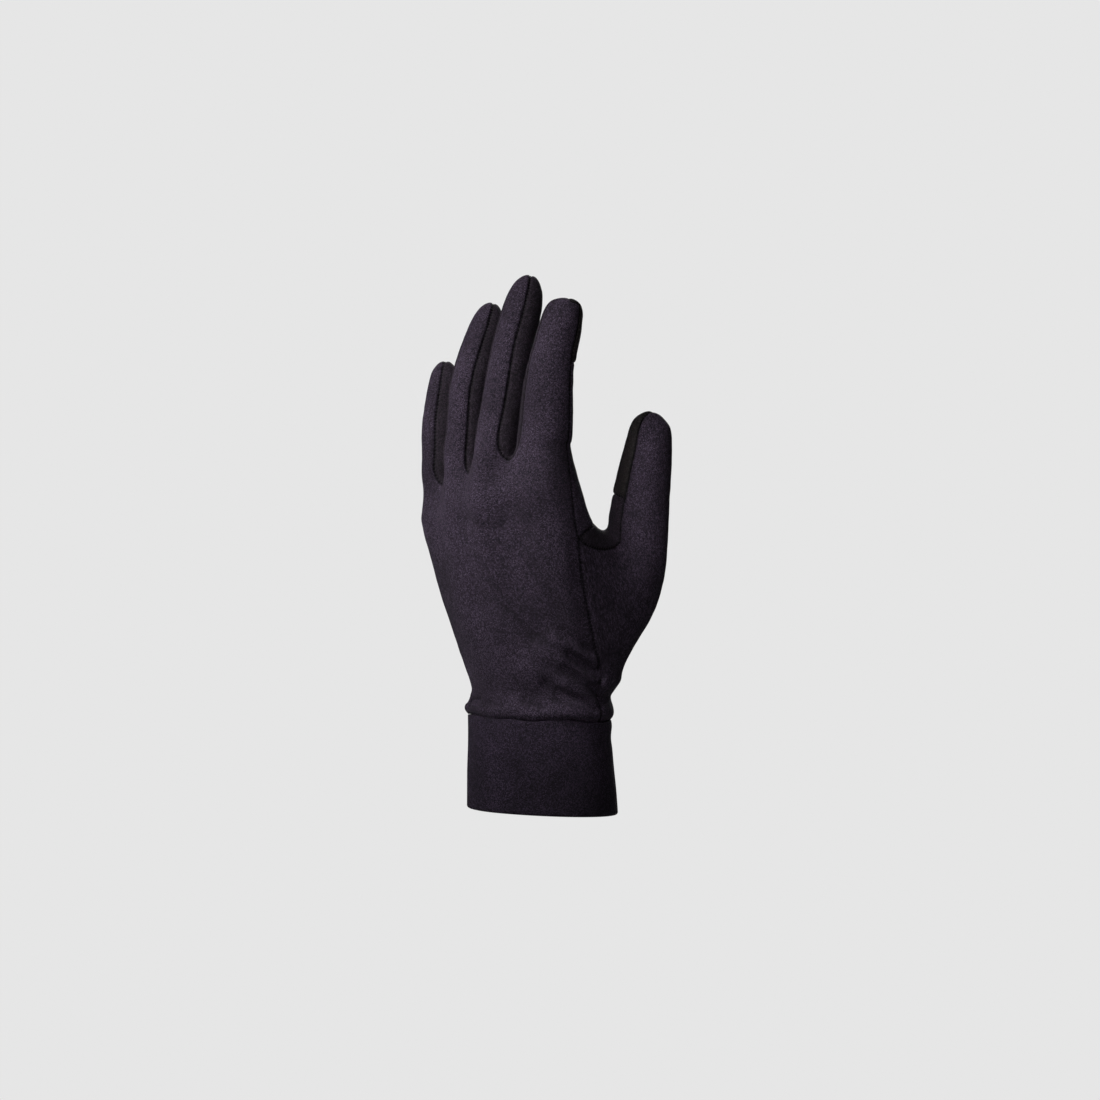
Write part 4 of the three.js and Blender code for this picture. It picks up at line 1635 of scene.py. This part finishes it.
@dataclass(frozen=True)
class ThreadFinish:
    """The sewing thread: dark, twisted and slightly glossy."""

    name: str = "thread"
    colour: tuple = (0.003, 0.0025, 0.0035, 1)
    light: tuple = (0.009, 0.0075, 0.01, 1)
    roughness: float = 0.7
    rough_vary: float = 0.15
    specular: float = 0.15
    twist: float = 0.0003
    depth: float = 0.00008

    def build(self) -> bpy.types.Material:
        """Builds the finish.

        Returns:
            The material.
        """
        material, nodes, inputs = new_finish(self.name, self.specular)
        fibre = nodes.noise(self.twist, detail=2)
        nodes.link(nodes.blend(fibre, self.colour, self.light), inputs["Base Color"])
        rough = nodes.line(fibre, 2 * self.rough_vary, self.roughness - self.rough_vary)
        nodes.link(rough, inputs["Roughness"])
        nodes.link(nodes.bump(fibre, distance=self.depth), inputs["Normal"])
        return material


@dataclass(frozen=True)
class FloorFinish:
    """The pale matt floor of the studio, which glows a little so that it looks evenly lit."""

    name: str = "studio_floor"
    colour: tuple = (0.79, 0.79, 0.79, 1)
    glow: float = 0.5
    roughness: float = 0.9
    rough_vary: float = 0.05
    specular: float = 0.1
    grain_size: float = 0.025

    def build(self) -> bpy.types.Material:
        """Builds the finish.

        Returns:
            The material.
        """
        material, nodes, inputs = new_finish(self.name, self.specular)
        inputs["Base Color"].default_value = self.colour
        inputs["Emission Color"].default_value = self.colour
        inputs["Emission Strength"].default_value = self.glow
        grain = nodes.noise(self.grain_size, detail=3)
        rough = nodes.line(grain, 2 * self.rough_vary, self.roughness - self.rough_vary)
        nodes.link(rough, inputs["Roughness"])
        return material


@dataclass(frozen=True)
class Softbox:
    """A square soft light aimed at the glove, placed by its direction as seen from the glove."""

    name: str
    azimuth: float
    elevation: float
    away: float
    size: float
    power: float
    aim: tuple = (0, 0, 0.12)
    spread: float = 180

    def build(self) -> None:
        """Adds the light, aimed at its place on the glove."""
        light = bpy.data.lights.new(self.name, "AREA")
        light.energy, light.size, light.spread = self.power, self.size, math.radians(self.spread)
        turn, lift = math.radians(self.azimuth), math.radians(self.elevation)
        level = math.cos(lift)
        out = Vector((math.sin(turn) * level, -math.cos(turn) * level, math.sin(lift)))
        obj = bpy.data.objects.new(self.name, light)
        obj.location = Vector(self.aim) + out * self.away
        obj.rotation_euler = (-out).to_track_quat("-Z", "Y").to_euler()
        bpy.context.scene.collection.objects.link(obj)


@dataclass
class Studio:
    """The camera, the pale surroundings, the floor and the soft lights."""

    azimuth: float = 36
    height: float = 0.1208
    away: float = 1.4
    aside: float = 0.00116
    roll: float = 1.2
    lens: float = 98.96
    sensor: float = 36
    near_clip: float = 0.05
    backdrop: float = 0.791
    fill: float = 0.025
    floor_level: float = -0.35
    floor_radius: float = 0.7
    floor_sides: int = 96
    floor_rings: int = 6
    floor_hub: float = 0.2
    softboxes: tuple = (
        Softbox("key", -26, 46, away=0.6, size=0.2, power=0.106, aim=(-0.008, 0, 0.142), spread=22),
        Softbox("near", 20, 22, away=0.6, size=0.2, power=0.048, aim=(-0.002, 0, 0.138), spread=22),
        Softbox("left", -30, 25, away=0.6, size=0.15, power=0.017, aim=(-0.03, 0, 0.13), spread=15),
        Softbox("thumb", 2, 22, away=0.35, size=0.05, power=0.0048, aim=(0.062, 0, 0.155), spread=7),
        Softbox("wide", -16, 40, away=0.8, size=0.3, power=0.5),
        Softbox("low", 16, 15, away=0.8, size=0.3, power=0.27),
        Softbox("palm", 207, 22, away=1.2, size=0.6, power=6.5),
    )

    def place_camera(self) -> None:
        """Puts the camera at the photograph's angle and distance."""
        camera = bpy.data.cameras.new("camera")
        camera.lens, camera.sensor_width, camera.clip_start = self.lens, self.sensor, self.near_clip
        turn, roll = math.radians(self.azimuth), math.radians(self.roll)
        right = Vector((math.cos(turn), math.sin(turn), 0))
        back = Vector((math.sin(turn), -math.cos(turn), 0))
        up = Vector((0, 0, 1))
        across = right * math.cos(roll) + up * math.sin(roll)
        upright = up * math.cos(roll) - right * math.sin(roll)
        obj = bpy.data.objects.new("camera", camera)
        turned = Matrix((across, upright, back)).transposed().to_4x4()
        place = back * self.away + right * self.aside + up * self.height
        obj.matrix_world = Matrix.Translation(place) @ turned
        bpy.context.scene.collection.objects.link(obj)
        bpy.context.scene.camera = obj

    def surround(self) -> None:
        """Gives the world its plain pale backdrop, which lights the glove more weakly than it shows."""
        world = bpy.data.worlds.new("studio")
        bpy.context.scene.world = world
        world.use_nodes = True
        nodes = Nodes(world.node_tree)
        shade = world.node_tree.nodes["Background"]
        shade.inputs["Color"].default_value = (1, 1, 1, 1)
        seen = nodes.make("ShaderNodeLightPath").outputs["Is Camera Ray"]
        strength = nodes.math("MULTIPLY_ADD", seen, self.backdrop - self.fill, self.fill)
        nodes.link(strength, shade.inputs["Strength"])

    def lay_floor(self) -> bpy.types.Object:
        """Lays the round pale floor below the glove, out of the photograph's view.

        Returns:
            The floor.
        """
        around, rings, hub = self.floor_sides, self.floor_rings, self.floor_hub
        turn = 2 * math.pi * np.arange(around) / around
        circle = np.stack([np.cos(turn), np.sin(turn), np.zeros(around)], 1)
        radii = self.floor_radius * (np.arange(rings) + hub) / (rings - 1 + hub)
        points = np.concatenate([*(circle * radius for radius in radii), np.zeros((1, 3))])
        points += np.array([0, 0, self.floor_level])
        first = np.repeat(np.arange(rings - 1), around) * around
        j = np.tile(np.arange(around), rings - 1)
        n = (j + 1) % around
        quads = np.stack([first + j, first + around + j, first + around + n, first + n], 1)
        faces = quads.tolist() + [(rings * around, a, (a + 1) % around) for a in range(around)]
        mesh = bpy.data.meshes.new("floor")
        mesh.from_pydata(points.tolist(), [], faces)
        mesh.materials.append(FloorFinish().build())
        floor = add_object("floor", mesh)
        floor.visible_diffuse = False
        return floor

    def build(self) -> None:
        """Builds the studio: the camera, the backdrop, the floor and the lights."""
        self.place_camera()
        self.surround()
        self.lay_floor()
        for softbox in self.softboxes:
            softbox.build()
        bpy.context.scene.view_settings.view_transform = "Standard"


FABRIC = KnitFinish(
    "glove_knit",
    yarn=(0.0065, 0.0044, 0.008, 1),
    fleck=(0.148, 0.106, 0.172, 1),
    dark_tone_and_shade=(0.007, 0.005, 0.008, 1),
)
# A darker copy of the knit, painted shade for the panels that lie between the fingers and under the
# thumb.
SHADED_INNER_FABRIC = KnitFinish(
    "shaded_inner_knit",
    yarn=(0.006, 0.0042, 0.0066, 1),
    fleck=(0.076, 0.054, 0.082, 1),
    dark_tone_and_shade=(0.006, 0.0045, 0.006, 1),
)
PATCH_FABRIC = KnitFinish(
    "patch_knit",
    yarn=(0.007, 0.0055, 0.006, 1),
    fleck=(0.056, 0.045, 0.046, 1),
    dark_tone_and_shade=(0.006, 0.005, 0.005, 1),
    roughness=0.62,
)
CUFF_FABRIC = KnitFinish(
    "cuff_knit",
    yarn=(0.0065, 0.0045, 0.0082, 1),
    fleck=(0.112, 0.078, 0.138, 1),
    dark_tone_and_shade=(0.006, 0.0045, 0.007, 1),
)


def dress(obj: bpy.types.Object, node: str, slot: str, material: bpy.types.Material) -> None:
    """Gives a piece its finish and lets it stand for its CAD node.

    Args:
        obj: The piece.
        node: The CAD node that it replaces.
        slot: The record's material slot; not used.
        material: Its finish.
    """
    obj.data.materials.clear()
    obj.data.materials.append(material)
    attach(obj, BODY)
    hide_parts(node)
    LOG.info("%s: %d faces", obj.name, len(obj.data.polygons))


def main() -> None:
    """Builds the glove around its frame, then the studio."""
    logging.basicConfig(level=logging.INFO, format="%(message)s")
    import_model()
    surface = HandSurface(HandForm())
    LOG.info("surface: %d points", len(surface.points))
    fabric, inner, patch, cuff = (f.build() for f in (FABRIC, SHADED_INNER_FABRIC, PATCH_FABRIC, CUFF_FABRIC))
    for panel in PANELS:
        if panel in PATCHES:
            dress(surface.cut(panel), panel.value, "patch", patch)
        else:
            # The gussets and the thumb's front take the darker copy of the knit, painted shade.
            knit = inner if panel in INNER_PANELS else fabric
            dress(surface.cut(panel), panel.value, "fabric", knit)
    dress(CuffBand().build(), "cuff_band", "cuff", cuff)
    thread = ThreadFinish().build()
    for family in Seam:
        lines = [line for line in surface.lines if line.family is family]
        stitches = Stitching(family).build(lines, thread)
        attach(stitches, BODY)
        LOG.info("%s: %d faces", stitches.name, len(stitches.data.polygons))
    Studio().build()


if __name__ == "__main__":
    main()
